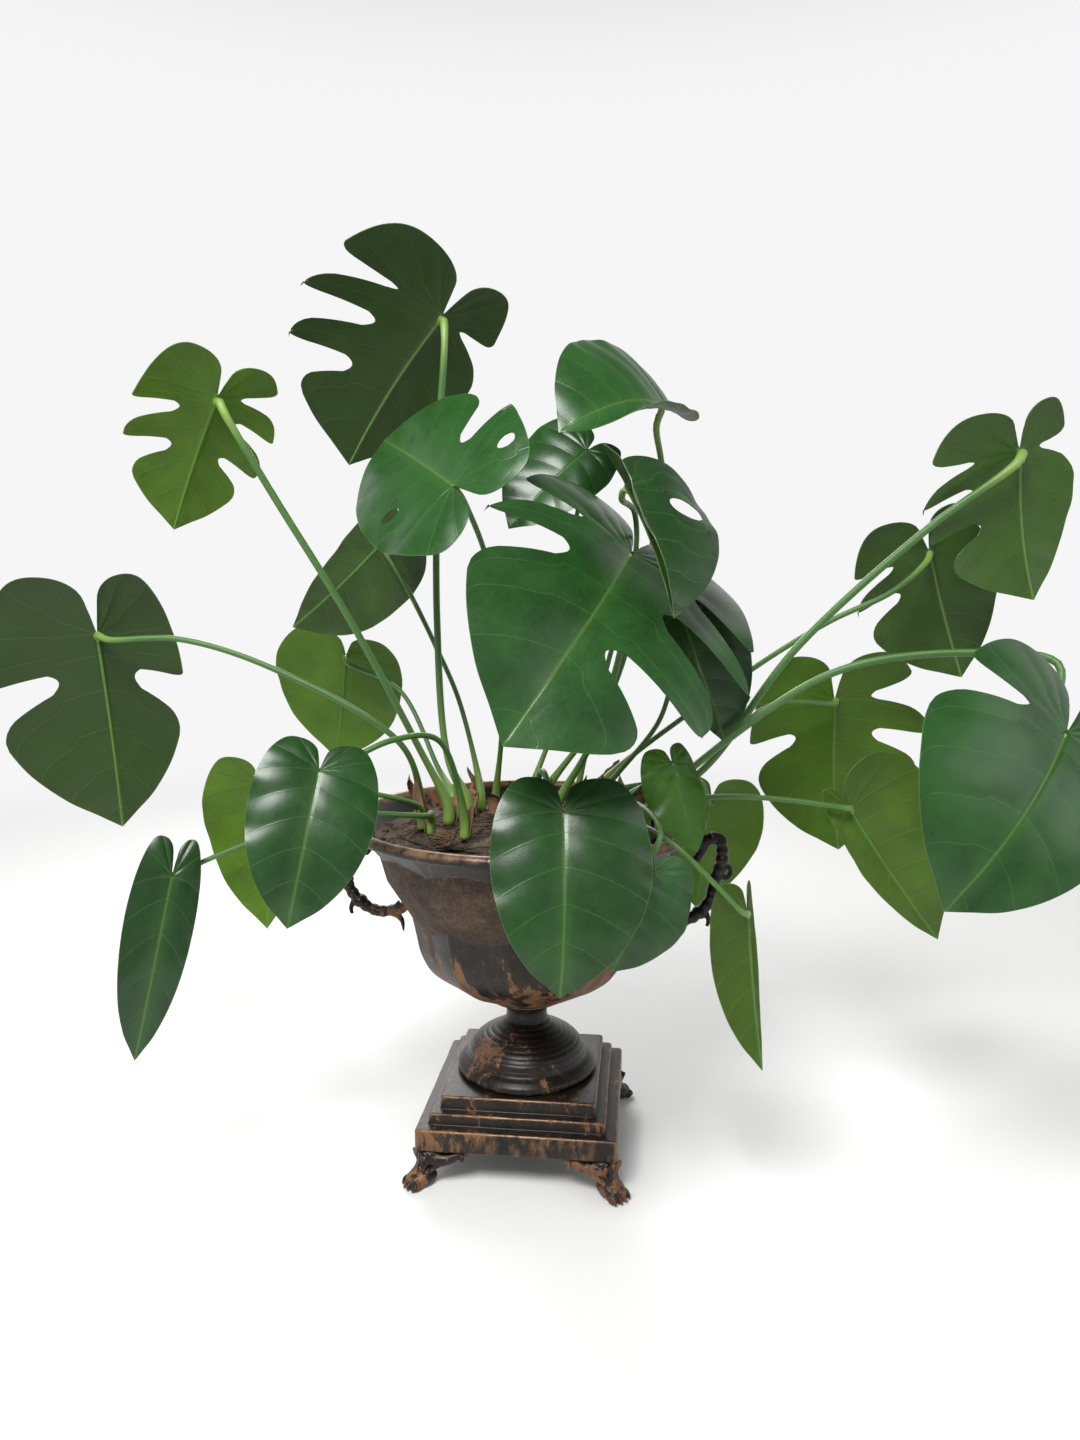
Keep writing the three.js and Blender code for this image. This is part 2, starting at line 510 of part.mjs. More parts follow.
// Each leaf: where its stalk joins (at), heading, pitch and roll (turn), length, half widths as shares of
// the length (left, right), how far the heart's lobes reach back (lobe), degrees that the halves fold and
// curl up, the tip droops and the lobes hang, slits of each half as [place, inner end, outer end, gap],
// stalk radius, the stalk's root on the crown and the points that it passes.
const LEAVES = {
  "01": {
    at: [-105, 70, 1045], turn: [149, -41, 28], long: 225, half: [0.74, 0.4], lobe: 0.3, droop: 25,
    slits: [[[0.4, 0.35, 1, 0.05], [0.55, 0.35, 1, 0.05], [0.7, 0.4, 1, 0.05]], [[0.4, 0.35, 1, 0.05]]],
    stalk: 5.5, root: [-75, 30], by: [[-100, 30, 495], [-115, 60, 670], [-110, 60, 895]],
  },
  "02": {
    at: [-320, -140, 905], turn: [142, -51, 21], long: 155, half: [0.52, 0.46], lobe: 0.3, pale: true,
    slits: [
      [[0.5, 0.35, 1, 0.05], [0.66, 0.35, 1, 0.05]],
      [[0.33, 0.35, 1, 0.04], [0.5, 0.35, 1, 0.04], [0.66, 0.35, 1, 0.04]],
    ],
    stalk: 5, root: [-95, -5], by: [[-130, -30, 520], [-200, -80, 675], [-275, -120, 815]],
  },
  "03": {
    at: [-75, -140, 815], turn: [125, 24, -53], long: 200, half: [0.52, 0.56], lobe: 0.3, droop: 10,
    slits: [[[0.52, 0.5, 0.75, 0.02]], [[0.3, 0.6, 0.85, 0.02], [0.52, 0.35, 1, 0.07]]],
    stalk: 4, root: [-40, 45], by: [[-30, 0, 550], [-40, -40, 720]],
  },
  "04": {
    at: [-180, 80, 775], turn: [151, -39, 86], long: 185, half: [0.23, 0.44],
    stalk: 4, root: [-60, 75], by: [[-90, 95, 560], [-120, 88, 635], [-152, 38, 715]],
  },
  "05": {
    at: [-265, 220, 615], turn: [112, -66, 34], long: 170, half: [0.63, 0.54], droop: 10, pale: true,
    stalk: 4, root: [-95, 60], by: [[-120, 100, 470], [-180, 165, 570]],
  },
  "06": {
    at: [-510, -30, 655], turn: [93, -76, -16], long: 240, half: [0.56, 0.38], lobe: 0.3, droop: 25,
    slits: [[[0.55, 0.35, 1, 0.06]], [[0.55, 0.35, 1, 0.06]]],
    stalk: 4.5, root: [-130, 10], by: [[-150, -40, 525], [-295, -50, 615], [-405, -50, 650]],
  },
  "07": {
    at: [-205, -225, 525], turn: [-99, -57, -24], long: 160, half: [0.41, 0.39], droop: 35,
    stalk: 4, root: [-70, -75], by: [[-95, -120, 540], [-140, -170, 548]],
  },
  "08": {
    at: [-295, -120, 490], turn: [90, -75, 0], long: 170, half: [0.4, 0.24], droop: 30, pale: true,
    stalk: 3.5, root: [-125, -30], by: [[-145, -80, 465], [-220, -110, 485]],
  },
  "09": {
    at: [-380, -170, 400], turn: [-113, -71, -44], long: 205, half: [0.16, 0.19], droop: 25,
    stalk: 3.5, root: [-110, -60], by: [[-115, -120, 455], [-200, -140, 460], [-300, -130, 430]],
  },
  "10": {
    at: [115, -130, 745], turn: [-109, -24, -40], long: 300, half: [0.62, 0.5], lobe: 0.3, droop: 45,
    slits: [
      [[0.42, 0.4, 1, 0.05], [0.57, 0.3, 1, 0.06], [0.74, 0.2, 1, 0.05]],
      [[0.42, 0.4, 1, 0.05], [0.57, 0.35, 1, 0.06]],
    ],
    stalk: 5, root: [35, -10], by: [[80, -20, 525], [115, -70, 675]],
  },
  "11": {
    at: [165, 0, 925], turn: [-125, 1, -48], long: 170, half: [0.29, 0.67], droop: 60, curl: [70, -25],
    stalk: 5, root: [20, 60], by: [[105, 50, 570], [165, 20, 840]],
  },
  "12": {
    at: [105, -180, 810], turn: [-52, -54, 4], long: 150, half: [0.66, 0.24], lobe: 0.3, fold: [8, 60],
    slits: [[[0.5, 0.4, 0.85, 0.05]], []],
    stalk: 4, root: [60, 15], by: [[95, -5, 600], [125, -70, 745], [120, -110, 790]],
  },
  "13": {
    at: [75, 50, 880], turn: [-157, -39, -50], long: 140, half: [0.38, 0.51],
    stalk: 4, root: [0, 20], by: [[45, 50, 570], [55, 60, 745]],
  },
  "14": {
    at: [180, -50, 680], turn: [-38, -65, 55], long: 165, half: [0.39, 0.2], droop: 30,
    stalk: 4, root: [85, 20], by: [[165, 0, 550], [180, -20, 635]],
  },
  "16": {
    at: [40, -260, 490], turn: [-88, -58, -6], long: 180, half: [0.49, 0.4], droop: 40,
    stalk: 4, root: [10, -95], by: [[20, -200, 520]],
  },
  "17": {
    at: [130, -240, 425], turn: [-131, -64, -66], long: 110, half: [0.54, 0.42], droop: 30,
    stalk: 3.5, root: [75, -90], by: [[115, -140, 475], [140, -220, 460]],
  },
  "18": {
    at: [235, -200, 370], turn: [55, -78, -35], long: 180, half: [0.24, 0.06], fold: [8, 50], pale: true,
    stalk: 3.5, root: [115, -70], by: [[128, -150, 452], [158, -203, 442], [200, -215, 402]],
  },
  "19": {
    at: [160, -150, 520], turn: [-53, -63, 30], long: 100, half: [0.25, 0.4], pale: true,
    stalk: 3.5, root: [115, -25], by: [[145, -100, 495]],
  },
  "21": {
    at: [270, 215, 405], turn: [93, -62, 9], long: 200, half: [0.38, 0.41], pale: true,
    stalk: 4, root: [108, 74], by: [[190, 90, 455], [240, 140, 445]],
  },
  "22": {
    at: [420, 130, 560], turn: [74, -82, -22], long: 210, half: [0.58, 0.64], lobe: 0.3, pale: true,
    slits: [[[0.55, 0.4, 1, 0.05]], [[0.36, 0.4, 1, 0.06], [0.55, 0.4, 1, 0.05]]],
    stalk: 4.5, root: [126, 44], by: [[225, 50, 490], [315, 60, 560]],
  },
  "23": {
    at: [495, 20, 755], turn: [39, -63, -46], long: 170, half: [0.6, 0.42], lobe: 0.3,
    slits: [[[0.42, 0.4, 1, 0.05], [0.56, 0.4, 1, 0.05]], []],
    stalk: 4.5, root: [90, 95], by: [[270, 30, 600], [370, 0, 670], [440, -10, 705]],
  },
  "24": {
    at: [550, -80, 860], turn: [60, -64, -38], long: 175, half: [0.69, 0.36], lobe: 0.3, droop: 25,
    slits: [[[0.38, 0.4, 1, 0.05], [0.52, 0.4, 1, 0.05], [0.66, 0.4, 1, 0.05]], [[0.38, 0.4, 1, 0.05]]],
    stalk: 6, root: [135, 5], by: [[210, -20, 485], [320, -40, 640], [455, -70, 775]],
  },
  "25": {
    at: [390, -40, 445], turn: [-3, -57, -111], long: 190, half: [0.17, 0.6], droop: 10, pale: true,
    stalk: 4, root: [140, -15], by: [[220, -40, 460], [300, -50, 460]],
  },
  "26": {
    at: [535, -240, 565], turn: [-135, -39, -55], long: 225, half: [0.42, 0.6], lobe: 0.3, droop: 40,
    slits: [[], [[0.42, 0.35, 1, 0.06]]],
    stalk: 5.5, root: [140, -50],
    by: [[245, -80, 545], [350, -120, 620], [485, -150, 640], [555, -180, 630]],
  },
};

urn.add(plant);
piece("urn_bowl", bowl(), WORN_IRON);
piece("urn_pedestal", pedestal(), IRON);
piece("urn_plinth", plinth(), IRON);
["back_right", "back_left", "front_left", "front_right"].forEach((place, corner) => {
  piece(`paw_foot_${place}`, pawFoot(corner), WORN_IRON);
});
piece("handle_left", handle(-1), IRON);
piece("handle_right", handle(1), IRON);
piece("tie_rod", tieRod(), STEEL);
piece("soil", soil(), EARTH);
piece("crown", crown(), ROOT);
for (const [number, own] of Object.entries(LEAVES)) {
  const leaf = { ...LEAF_DEFAULTS, ...own };
  const blade = bladeGeometry(leaf).applyMatrix4(leafMatrix(leaf));
  piece(`leaf_blade_${number}`, blade, leaf.pale ? PALE_GREEN : GLOSSY_GREEN, plant);
  piece(`leaf_stalk_${number}`, stalkGeometry(leaf), STALK_GREEN, plant);
}

export default urn;
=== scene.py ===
"""A potted split-leaf plant in a cast garden urn on paw feet, built piece by piece over its CAD frame."""

import math
import random

import bmesh
import bpy
import numpy as np
from bpy.props import FloatProperty, FloatVectorProperty, IntProperty, PointerProperty
from bpy.types import Operator, Panel, PropertyGroup
from mathutils import Matrix, Vector, noise


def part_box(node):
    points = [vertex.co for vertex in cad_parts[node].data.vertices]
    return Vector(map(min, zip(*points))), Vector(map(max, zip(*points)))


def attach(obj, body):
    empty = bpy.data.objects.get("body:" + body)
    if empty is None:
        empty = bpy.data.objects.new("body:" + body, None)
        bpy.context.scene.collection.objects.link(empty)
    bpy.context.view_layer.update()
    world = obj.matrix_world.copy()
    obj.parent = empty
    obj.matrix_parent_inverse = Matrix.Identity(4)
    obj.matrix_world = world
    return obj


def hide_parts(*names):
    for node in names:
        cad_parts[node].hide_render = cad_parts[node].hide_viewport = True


bl_info = {
    "name": "Potted Split-Leaf Plant",
    "version": (1, 0, 0),
    "blender": (4, 5, 0),
    "location": "View3D > Sidebar > Potted Plant",
    "description": "Builds a split-leaf plant standing in a cast garden urn",
    "category": "Add Mesh",
}

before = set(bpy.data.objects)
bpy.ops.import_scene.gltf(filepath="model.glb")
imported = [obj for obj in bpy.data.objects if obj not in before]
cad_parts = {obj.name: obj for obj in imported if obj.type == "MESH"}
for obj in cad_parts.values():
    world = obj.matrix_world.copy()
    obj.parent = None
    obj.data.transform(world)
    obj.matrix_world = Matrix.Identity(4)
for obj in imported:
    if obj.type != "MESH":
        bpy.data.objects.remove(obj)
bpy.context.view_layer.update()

BOWL_LOW, BOWL_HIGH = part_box("urn_bowl")
PEDESTAL_LOW, PEDESTAL_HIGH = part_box("urn_pedestal")
PLINTH_LOW, PLINTH_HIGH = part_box("urn_plinth")
SOIL_LOW, SOIL_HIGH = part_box("soil")
CROWN_LOW, CROWN_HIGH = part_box("crown")
ROD_LOW, ROD_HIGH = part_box("tie_rod")

# The urn and the stage, in metres.
ROD_HOLE = 0.0066
CASTING_WALL = 0.006
BOWL_FLOOR = 0.008
PANEL_STEPS = 22
RING_PITCH = 0.0078
PAW_INSET = 0.014
PAW_GRAIN = 0.00105
HANDLE_GRAIN = 0.0011
CAMERA_PLACE = (0.017, -1.176, 0.695)
CAMERA_TILT = math.radians(82.9)

# The leaves and stalks, in millimetres or as shares of a leaf's length or width.
MM = 0.001
PLANT_TURN = math.radians(6.2)
RIB_START = 0.42
HEART_LOBE = 0.19
WIDEST = 0.52
BLADE_RIPPLE = 4.0
STALK_GAP = 0.3
STALK_LIFT = 14.0
STALK_SUNK = 7.0
KNEE_SHARE = 0.12


# Sizes and colours that a user may change.


def length_prop(name, description, default):
    return FloatProperty(
        name=name, description=description, default=default, min=0.0, unit="LENGTH", precision=4
    )


def share_prop(name, description, default, high=1.0):
    return FloatProperty(
        name=name, description=description, default=default, min=0.0, max=high, subtype="FACTOR"
    )


def count_prop(name, description, default, low, high):
    return IntProperty(name=name, description=description, default=default, min=low, max=high)


def power_prop(name, description, default):
    return FloatProperty(name=name, description=description, default=default, unit="POWER")


def colour_prop(name, description, default):
    return FloatVectorProperty(
        name=name, description=description, default=default, min=0.0, max=1.0, size=3, subtype="COLOR"
    )


class UrnSizes(PropertyGroup):
    """Sizes of the castings."""

    collar: length_prop("Collar radius", "Radius of the bead under the bowl", 0.056)
    belly: length_prop("Belly radius", "Radius of the bowl at its lower swell", 0.139)
    rim: length_prop("Rim radius", "Radius of the bowl over its rolled rim", BOWL_HIGH.x)
    rim_roll: length_prop("Rim roll", "Radius of the rolled edge", 0.007)
    wall: length_prop("Wall", "Thickness of the bowl behind its panels", 0.009)
    panels: count_prop("Panels", "Flat panels round the bowl", 12, 3, 36)
    panel_depth: length_prop("Panel depth", "How far a panel's middle lies inside its ridges", 0.005)
    ring_depth: length_prop("Ring depth", "Height of the turned rings on the pedestal", 0.0006)
    edge_round: length_prop("Edge rounding", "Rounding of the plinth's edges", 0.0028)
    branch: length_prop("Handle branch", "Radius of the branch that each handle is cast as", 0.0075)


class UrnFinish(PropertyGroup):
    """Colours of the castings."""

    dark: colour_prop("Patina", "Black-brown coat on the metal", (0.0110, 0.0092, 0.0070))
    copper: colour_prop("Rub-through", "Coppery brown where the coat is rubbed away", (0.155, 0.072, 0.032))
    edge: colour_prop("Worn edges", "Paler metal on ridges and edges", (0.215, 0.125, 0.070))
    steel: colour_prop("Steel", "Plain steel of the tie rod", (0.42, 0.41, 0.39))
    wear: share_prop("Wear", "How much of the coat is rubbed away", 0.5)


class PlantSizes(PropertyGroup):
    """Sizes of the plant's fine detail."""

    blade: length_prop("Blade thickness", "Thickness of a leaf blade", 0.0009)
    quilt: length_prop("Quilting", "How far a blade swells between its veins", 0.0008)
    midrib: share_prop("Midrib", "Radius of the midrib as a share of its stalk's", 0.5)
    swell: share_prop("Sheath swell", "Extra radius of a stalk where it leaves the crown", 1.0, 2.0)
    husks: count_prop("Husks", "Papery husks round the stalk bases", 20, 0, 60)
    crumbs: count_prop("Crumbs", "Bark crumbs on the soil", 520, 0, 2000)
    roots: count_prop("Roots", "Fine roots over the crown", 130, 0, 400)


class PlantColours(PropertyGroup):
    """Colours of the plant and its soil."""

    upper: colour_prop("Upper face", "Glossy upper face of a leaf not lit from behind", (0.0125, 0.054, 0.0095))
    under: colour_prop("Underside", "Matt underside of a leaf not lit from behind", (0.026, 0.068, 0.0045))
    # Painted backlight: the two pale colours are lighter, yellower greens that stand for light shining
    # through a leaf from behind.
    pale_upper: colour_prop("Backlit upper face, painted", "Upper face of a leaf lit from behind, painted paler", (0.044, 0.128, 0.012))
    pale_under: colour_prop("Backlit underside, painted", "Underside of a leaf lit from behind, painted paler", (0.074, 0.152, 0.005))
    vein: colour_prop("Veins", "Midrib and lateral veins", (0.120, 0.260, 0.050))
    stalk: colour_prop("Stalk", "Middle of a leaf stalk", (0.050, 0.140, 0.022))
    sheath: colour_prop("Sheath", "Pale stalk base and knee", (0.250, 0.400, 0.080))
    husk: colour_prop("Husk", "Dry papery husk", (0.215, 0.120, 0.058))
    soil: colour_prop("Soil", "Damp potting mix", (0.040, 0.023, 0.013))
    coir: colour_prop("Coir", "Dry coir and roots", (0.230, 0.140, 0.075))


class StageSetup(PropertyGroup):
    """Floor, lamps and camera."""

    floor: colour_prop("Floor", "Plain pale floor", (0.80, 0.80, 0.79))
    sky: colour_prop("Surround", "Soft light from all round", (1.0, 1.0, 1.0))
    sky_strength: FloatProperty(
        name="Surround strength", description="Strength of the surround", default=0.92, min=0.0
    )
    ceiling: share_prop("Ceiling", "Brightness overhead as a share of the surround's", 0.2)
    front: share_prop("Front", "Brightness in front of the plant as a share of the surround's", 0.5)
    key: power_prop("Key lamp", "Power of the large soft lamp", 88.0)
    fill: power_prop("Fill lamp", "Power of the lamp on the other side", 8.0)
    back: power_prop("Back lamp", "Power of the lamp behind the leaves", 46.0)
    lens: FloatProperty(name="Lens", description="Focal length", default=24.0, unit="CAMERA")


# Node trees written as expressions.


class Value:
    """One output of a node. Arithmetic on it adds Math nodes."""

    def __init__(self, finish, socket):
        self.finish = finish
        self.socket = socket

    def math(self, operation, *values):
        return self.finish.node("Math", {"operation": operation}, dict(enumerate(values)))

    def __add__(self, other):
        return self.math("ADD", self, other)

    def __radd__(self, other):
        return self.math("ADD", other, self)

    def __sub__(self, other):
        return self.math("SUBTRACT", self, other)

    def __rsub__(self, other):
        return self.math("SUBTRACT", other, self)

    def __mul__(self, other):
        return self.math("MULTIPLY", self, other)

    def __rmul__(self, other):
        return self.math("MULTIPLY", other, self)


class Finish:
    """A material, or the surround, being made. Every node of it comes from node()."""

    def __init__(self, name, owner=None):
        self.material = owner or bpy.data.materials.new(name)
        self.material.use_nodes = True
        self.tree = self.material.node_tree
        self.tree.nodes.clear()

    def node(self, kind, settings, inputs, output=0):
        made = self.tree.nodes.new("ShaderNode" + kind)
        for key, value in settings.items():
            setattr(made, key, value)
        for key, value in inputs.items():
            socket = made.inputs[key]
            if isinstance(value, Value):
                self.tree.links.new(value.socket, socket)
            elif socket.type == "RGBA":
                socket.default_value = (*value, 1.0)
            else:
                socket.default_value = value
        return Value(self, made.outputs[output]) if made.outputs else None

    def place(self):
        return self.node("TexCoord", {}, {}, "Object")

    def number(self, name):
        """A number that the mesh carries."""
        return self.node("Attribute", {"attribute_name": name}, {}, "Fac")

    def attribute(self, name):
        """The three parts of a vector that the mesh carries."""
        vector = self.node("Attribute", {"attribute_name": name}, {}, "Vector")
        return [Value(self, out) for out in self.node("SeparateXYZ", {}, {0: vector}).socket.node.outputs]

    def height(self, vector):
        return self.node("SeparateXYZ", {}, {0: vector}, "Z")

    def point(self, x, y, z):
        return self.node("CombineXYZ", {}, {0: x, 1: y, 2: z})

    def moved(self, vector, shift):
        return self.node("VectorMath", {"operation": "ADD"}, {0: vector, 1: shift})

    def stretched(self, vector, scale):
        return self.node("VectorMath", {"operation": "MULTIPLY"}, {0: vector, 1: scale})

    def noise(self, vector, scale, detail=3.0, roughness=0.55, distortion=0.0):
        inputs = {"Vector": vector, "Scale": scale, "Detail": detail}
        inputs |= {"Roughness": roughness, "Distortion": distortion}
        return self.node("TexNoise", {}, inputs)

    def cells(self, vector, scale, feature="DISTANCE_TO_EDGE"):
        return self.node("TexVoronoi", {"feature": feature}, {"Vector": vector, "Scale": scale}, "Distance")

    def step(self, value, low, high):
        """0 below low and 1 above high, with a smooth rise between."""
        inputs = {0: value, 1: low, 2: high, 3: 0.0, 4: 1.0}
        return self.node("MapRange", {"interpolation_type": "SMOOTHSTEP"}, inputs)

    def mix(self, share, first, second):
        return self.node("Mix", {"data_type": "RGBA"}, {0: share, 6: first, 7: second}, 2)

    def bump(self, height, distance, strength=1.0):
        return self.node("Bump", {}, {"Height": height, "Distance": distance, "Strength": strength})

    def principled(self, inputs):
        return self.node("BsdfPrincipled", {}, inputs)

    def done(self, surface):
        self.node("OutputMaterial", {}, {"Surface": surface})
        return self.material


def shade(colour, factor):
    return tuple(min(1.0, part * factor) for part in colour)


def iron(name, finish, seed, rub=0.0, low_band=None, lip=None):
    """Patinated casting: dark coat, coppery rub-through, pale worn ridges and a fine sand-cast grain."""
    f = Finish(name)
    place = f.stretched(f.place(), (1.0, 1.0, 0.42))
    wear = f.number("wear")
    shifted = f.moved(place, (seed, 2.0 * seed, 0.0))
    broad = f.noise(shifted, 11.0, 6.0, 0.68, 0.6)
    flake = f.noise(shifted, 70.0, 5.0, 0.72)
    grain = f.noise(f.place(), 520.0, 2.0, 0.6)
    rubbed = broad * 0.62 + flake * 0.38 + wear * 0.05 + rub
    if low_band:
        rubbed = rubbed + (1.0 - f.step(f.height(f.place()), low_band[0], low_band[1])) * 0.075
    limit = 0.632 - 0.13 * finish.wear
    patch = f.step(rubbed, limit, limit + 0.016)
    halo = f.step(rubbed, limit - 0.08, limit + 0.01)
    ridge = f.step(wear + (flake - 0.5) * 1.3, 0.17, 0.5)
    speck = f.step(grain * 0.4 + f.noise(shifted, 190.0, 4.0, 0.7) * 0.6, 0.565, 0.62)
    base = f.mix(f.step(broad, 0.35, 0.7), shade(finish.dark, 0.6), shade(finish.dark, 1.3))
    base = f.mix(halo * 0.16, base, shade(finish.copper, 0.5))
    rust = f.mix(f.step(flake, 0.35, 0.65), shade(finish.copper, 0.6), shade(finish.copper, 1.35))
    base = f.mix(patch * 0.88, base, rust)
    base = f.mix(speck * 0.3, base, finish.copper)
    base = f.mix(ridge * 0.75, base, finish.edge)
    if lip:
        near_lip = f.step(f.height(f.place()), lip - 0.009, lip - 0.004)
        brushed = near_lip * f.step(flake * 0.6 + broad * 0.4, 0.36, 0.52)
        base = f.mix(brushed * 0.7, base, shade(finish.edge, 1.15))
    roughness = 0.38 + patch * 0.16 + (grain - 0.5) * 0.24
    metallic = 0.30 + ridge * 0.30
    lift = grain * 0.35 + flake * 0.4 - patch * 0.45
    normal = f.bump(lift, 0.0009, 0.6)
    inputs = {"Base Color": base, "Roughness": roughness, "Metallic": metallic, "Normal": normal}
    return f.done(f.principled(inputs | {"Specular IOR Level": 0.4}))


def steel(finish):
    f = Finish("rod_steel")
    turned = f.stretched(f.place(), (60.0, 60.0, 900.0))
    lines = f.noise(turned, 1.0, 2.0)
    base = f.mix(f.step(f.noise(f.place(), 90.0, 4.0), 0.5, 0.7), finish.steel, shade(finish.copper, 1.1))
    return f.done(f.principled({"Base Color": base, "Roughness": 0.3 + lines * 0.25, "Metallic": 0.9}))


def leaf_surface(name, upper, under, colours, gloss, glow):
    """Blade: deep upper face with pale veins, matt underside with a darker net, light showing through."""
    f = Finish(name)
    vein, rib, edge = f.attribute("veins")
    along, across, below = f.attribute("blade")
    tone = f.number("tone")
    place = f.point(along, across, tone * 3.0)
    patchy = f.noise(place, 16.0, 3.0, 0.6)
    fine = f.noise(place, 150.0, 3.0, 0.6)
    rays = f.noise(f.point(vein * 0.012, rib * 0.004, tone), 60.0, 2.0, 0.5)
    net = f.cells(f.moved(place, f.point(fine * 0.004, patchy * 0.006, 0.0)), 210.0)
    mesh_line = 1.0 - f.step(net, 0.02, 0.11)
    lateral = 1.0 - f.step(vein, 0.15, 1.05)
    soft = 1.0 - f.step(vein, 0.0, 7.0)
    midrib = 1.0 - f.step(rib, 0.5, 2.2)
    shoulder = 1.0 - f.step(rib, 0.0, 16.0)
    margin = 1.0 - f.step(edge, 0.15, 1.2)
    shift = patchy * 0.9 + fine * 0.25 + (tone - 0.5) * 0.5
    top = f.mix(f.step(shift, 0.35, 0.95), shade(upper, 0.66), shade(upper, 1.55))
    top = f.mix(shoulder * 0.10, top, colours.vein)
    top = f.mix(lateral * 0.14, top, colours.vein)
    top = f.mix(rays * 0.10, top, shade(upper, 2.2))
    low = f.mix(f.step(shift, 0.35, 0.95), shade(under, 0.66), shade(under, 1.35))
    low = f.mix(mesh_line * 0.25, low, shade(under, 0.5))
    low = f.mix(soft * 0.22, low, shade(under, 0.5))
    low = f.mix(lateral * 0.35, low, shade(under, 1.9))
    base = f.mix(below, top, low)
    base = f.mix(midrib * 0.62, base, f.mix(below, shade(colours.vein, 0.62), colours.vein))
    base = f.mix(margin * 0.4, base, colours.vein)
    roughness = gloss + below * 0.2 + (fine - 0.5) * 0.18 + (patchy - 0.5) * 0.14
    sag = f.bump(f.noise(place, 7.0, 2.0, 0.5, 0.4), 0.016, 0.22)
    relief = fine * 0.35 - lateral * 0.5 + net * 1.2 * below + rays * 0.3
    normal = f.node("Bump", {}, {"Height": relief, "Distance": 0.0005, "Strength": 0.35, "Normal": sag})
    skin = f.principled(
        {
            "Base Color": base,
            "Roughness": roughness,
            "Normal": normal,
            "Specular IOR Level": 0.42,
            "Coat Weight": 0.08,
            "Coat Roughness": 0.22,
        }
    )
    through = f.node("BsdfTranslucent", {}, {"Color": shade(under, 2.6)})
    return f.done(f.node("MixShader", {}, {0: glow, 1: skin, 2: through}))


def stalk_surface(colours):
    """Stalk: pale sheathed base, mid green with pale streaks and flecks, lime knee under the blade."""
    f = Finish("stalk_skin")
    along, turn, _ = f.attribute("stalk")
    tone = f.number("tone")
    strip = f.point(turn * 6.0, along * 3.0, tone * 9.0)
    streak = f.noise(f.stretched(strip, (9.0, 1.2, 1.0)), 3.0, 4.0, 0.6)
    fleck = f.step(f.noise(f.stretched(strip, (10.0, 30.0, 1.0)), 3.0, 3.0), 0.60, 0.68)
    base_zone = 1.0 - f.step(along, 0.02, 0.26)
    knee = f.step(along, 0.86, 0.97)
    body = f.mix(f.step(streak, 0.3, 0.75), shade(colours.stalk, 0.6), shade(colours.stalk, 1.45))
    body = f.mix(base_zone * (0.35 + 0.5 * f.step(streak, 0.35, 0.65)), body, colours.sheath)
    body = f.mix(knee * 0.75, body, shade(colours.sheath, 0.9))
    body = f.mix(fleck * 0.3, body, shade(colours.sheath, 1.1))
    dry = f.step(streak + base_zone * 0.24, 0.80, 0.90)
    body = f.mix(dry * 0.7, body, colours.husk)
    roughness = 0.40 + (streak - 0.5) * 0.25 + dry * 0.3
    normal = f.bump(streak + fleck * 0.2, 0.0006, 0.35)
    skin = {"Base Color": body, "Roughness": roughness, "Normal": normal}
    return f.done(f.principled(skin | {"Coat Weight": 0.1, "Coat Roughness": 0.3}))


def husk_surface(colours):
    """Dry papery husk with long fibres."""
    f = Finish("husk_paper")
    along, turn, thick = f.attribute("stalk")
    fibre = f.noise(f.point(turn * 40.0, along * 2.0, thick * 5.0), 2.0, 4.0, 0.65)
    blotch = f.noise(f.place(), 60.0, 3.0)
    base = f.mix(f.step(fibre, 0.3, 0.7), shade(colours.husk, 0.45), shade(colours.husk, 1.5))
    base = f.mix(f.step(blotch, 0.45, 0.7) * 0.5, base, shade(colours.coir, 1.5))
    normal = f.bump(fibre, 0.0009, 0.7)
    return f.done(f.principled({"Base Color": base, "Roughness": 0.75 + fibre * 0.15, "Normal": normal}))


def earth_surface(name, dark, light, share):
    """Crumbly bark, soil and coir."""
    f = Finish(name)
    place = f.place()
    broad = f.noise(place, 34.0, 4.0, 0.6)
    crumb = f.cells(place, 190.0, "F1")
    fine = f.noise(place, 420.0, 3.0, 0.65)
    base = f.mix(f.step(broad * 0.6 + fine * 0.4, 0.42, 0.62), dark, f.mix(share, dark, light))
    base = f.mix(f.step(crumb, 0.25, 0.7) * 0.5, base, shade(dark, 0.5))
    base = f.mix(f.step(fine, 0.60, 0.74) * 0.5, base, light)
    normal = f.bump(fine + crumb * 0.6, 0.0016, 0.8)
    roughness = 0.82 + (fine - 0.5) * 0.2
    return f.done(f.principled({"Base Color": base, "Roughness": roughness, "Normal": normal}))


def floor_surface(colour):
    """Pale floor that melts into the surround farther out."""
    f = Finish("floor_paint")
    place = f.place()
    mottle = f.noise(place, 3.0, 2.0)
    base = f.mix(mottle * 0.08, colour, shade(colour, 0.96))
    far = f.node("VectorMath", {"operation": "LENGTH"}, {0: place}, "Value")
    return f.done(f.principled({"Base Color": base, "Roughness": 0.7, "Alpha": 1.0 - f.step(far, 0.9, 3.2)}))


# Meshes.


def make_object(name, points, faces, material, smooth=True):
    mesh = bpy.data.meshes.new(name)
    mesh.from_pydata([tuple(map(float, p)) for p in points], [], [tuple(map(int, f)) for f in faces])
    mesh.validate()
    mesh.materials.append(material)
    mesh.polygons.foreach_set("use_smooth", [smooth] * len(mesh.polygons))
    made = bpy.data.objects.new(name, mesh)
    bpy.context.scene.collection.objects.link(made)
    return made


def carry(mesh, name, values):
    """Stores a number or vector on each vertex for the materials to read."""
    values = np.asarray(values, np.float32)
    kind, field = ("FLOAT_VECTOR", "vector") if values.ndim == 2 else ("FLOAT", "value")
    mesh.attributes.new(name, kind, "POINT").data.foreach_set(field, values.ravel())


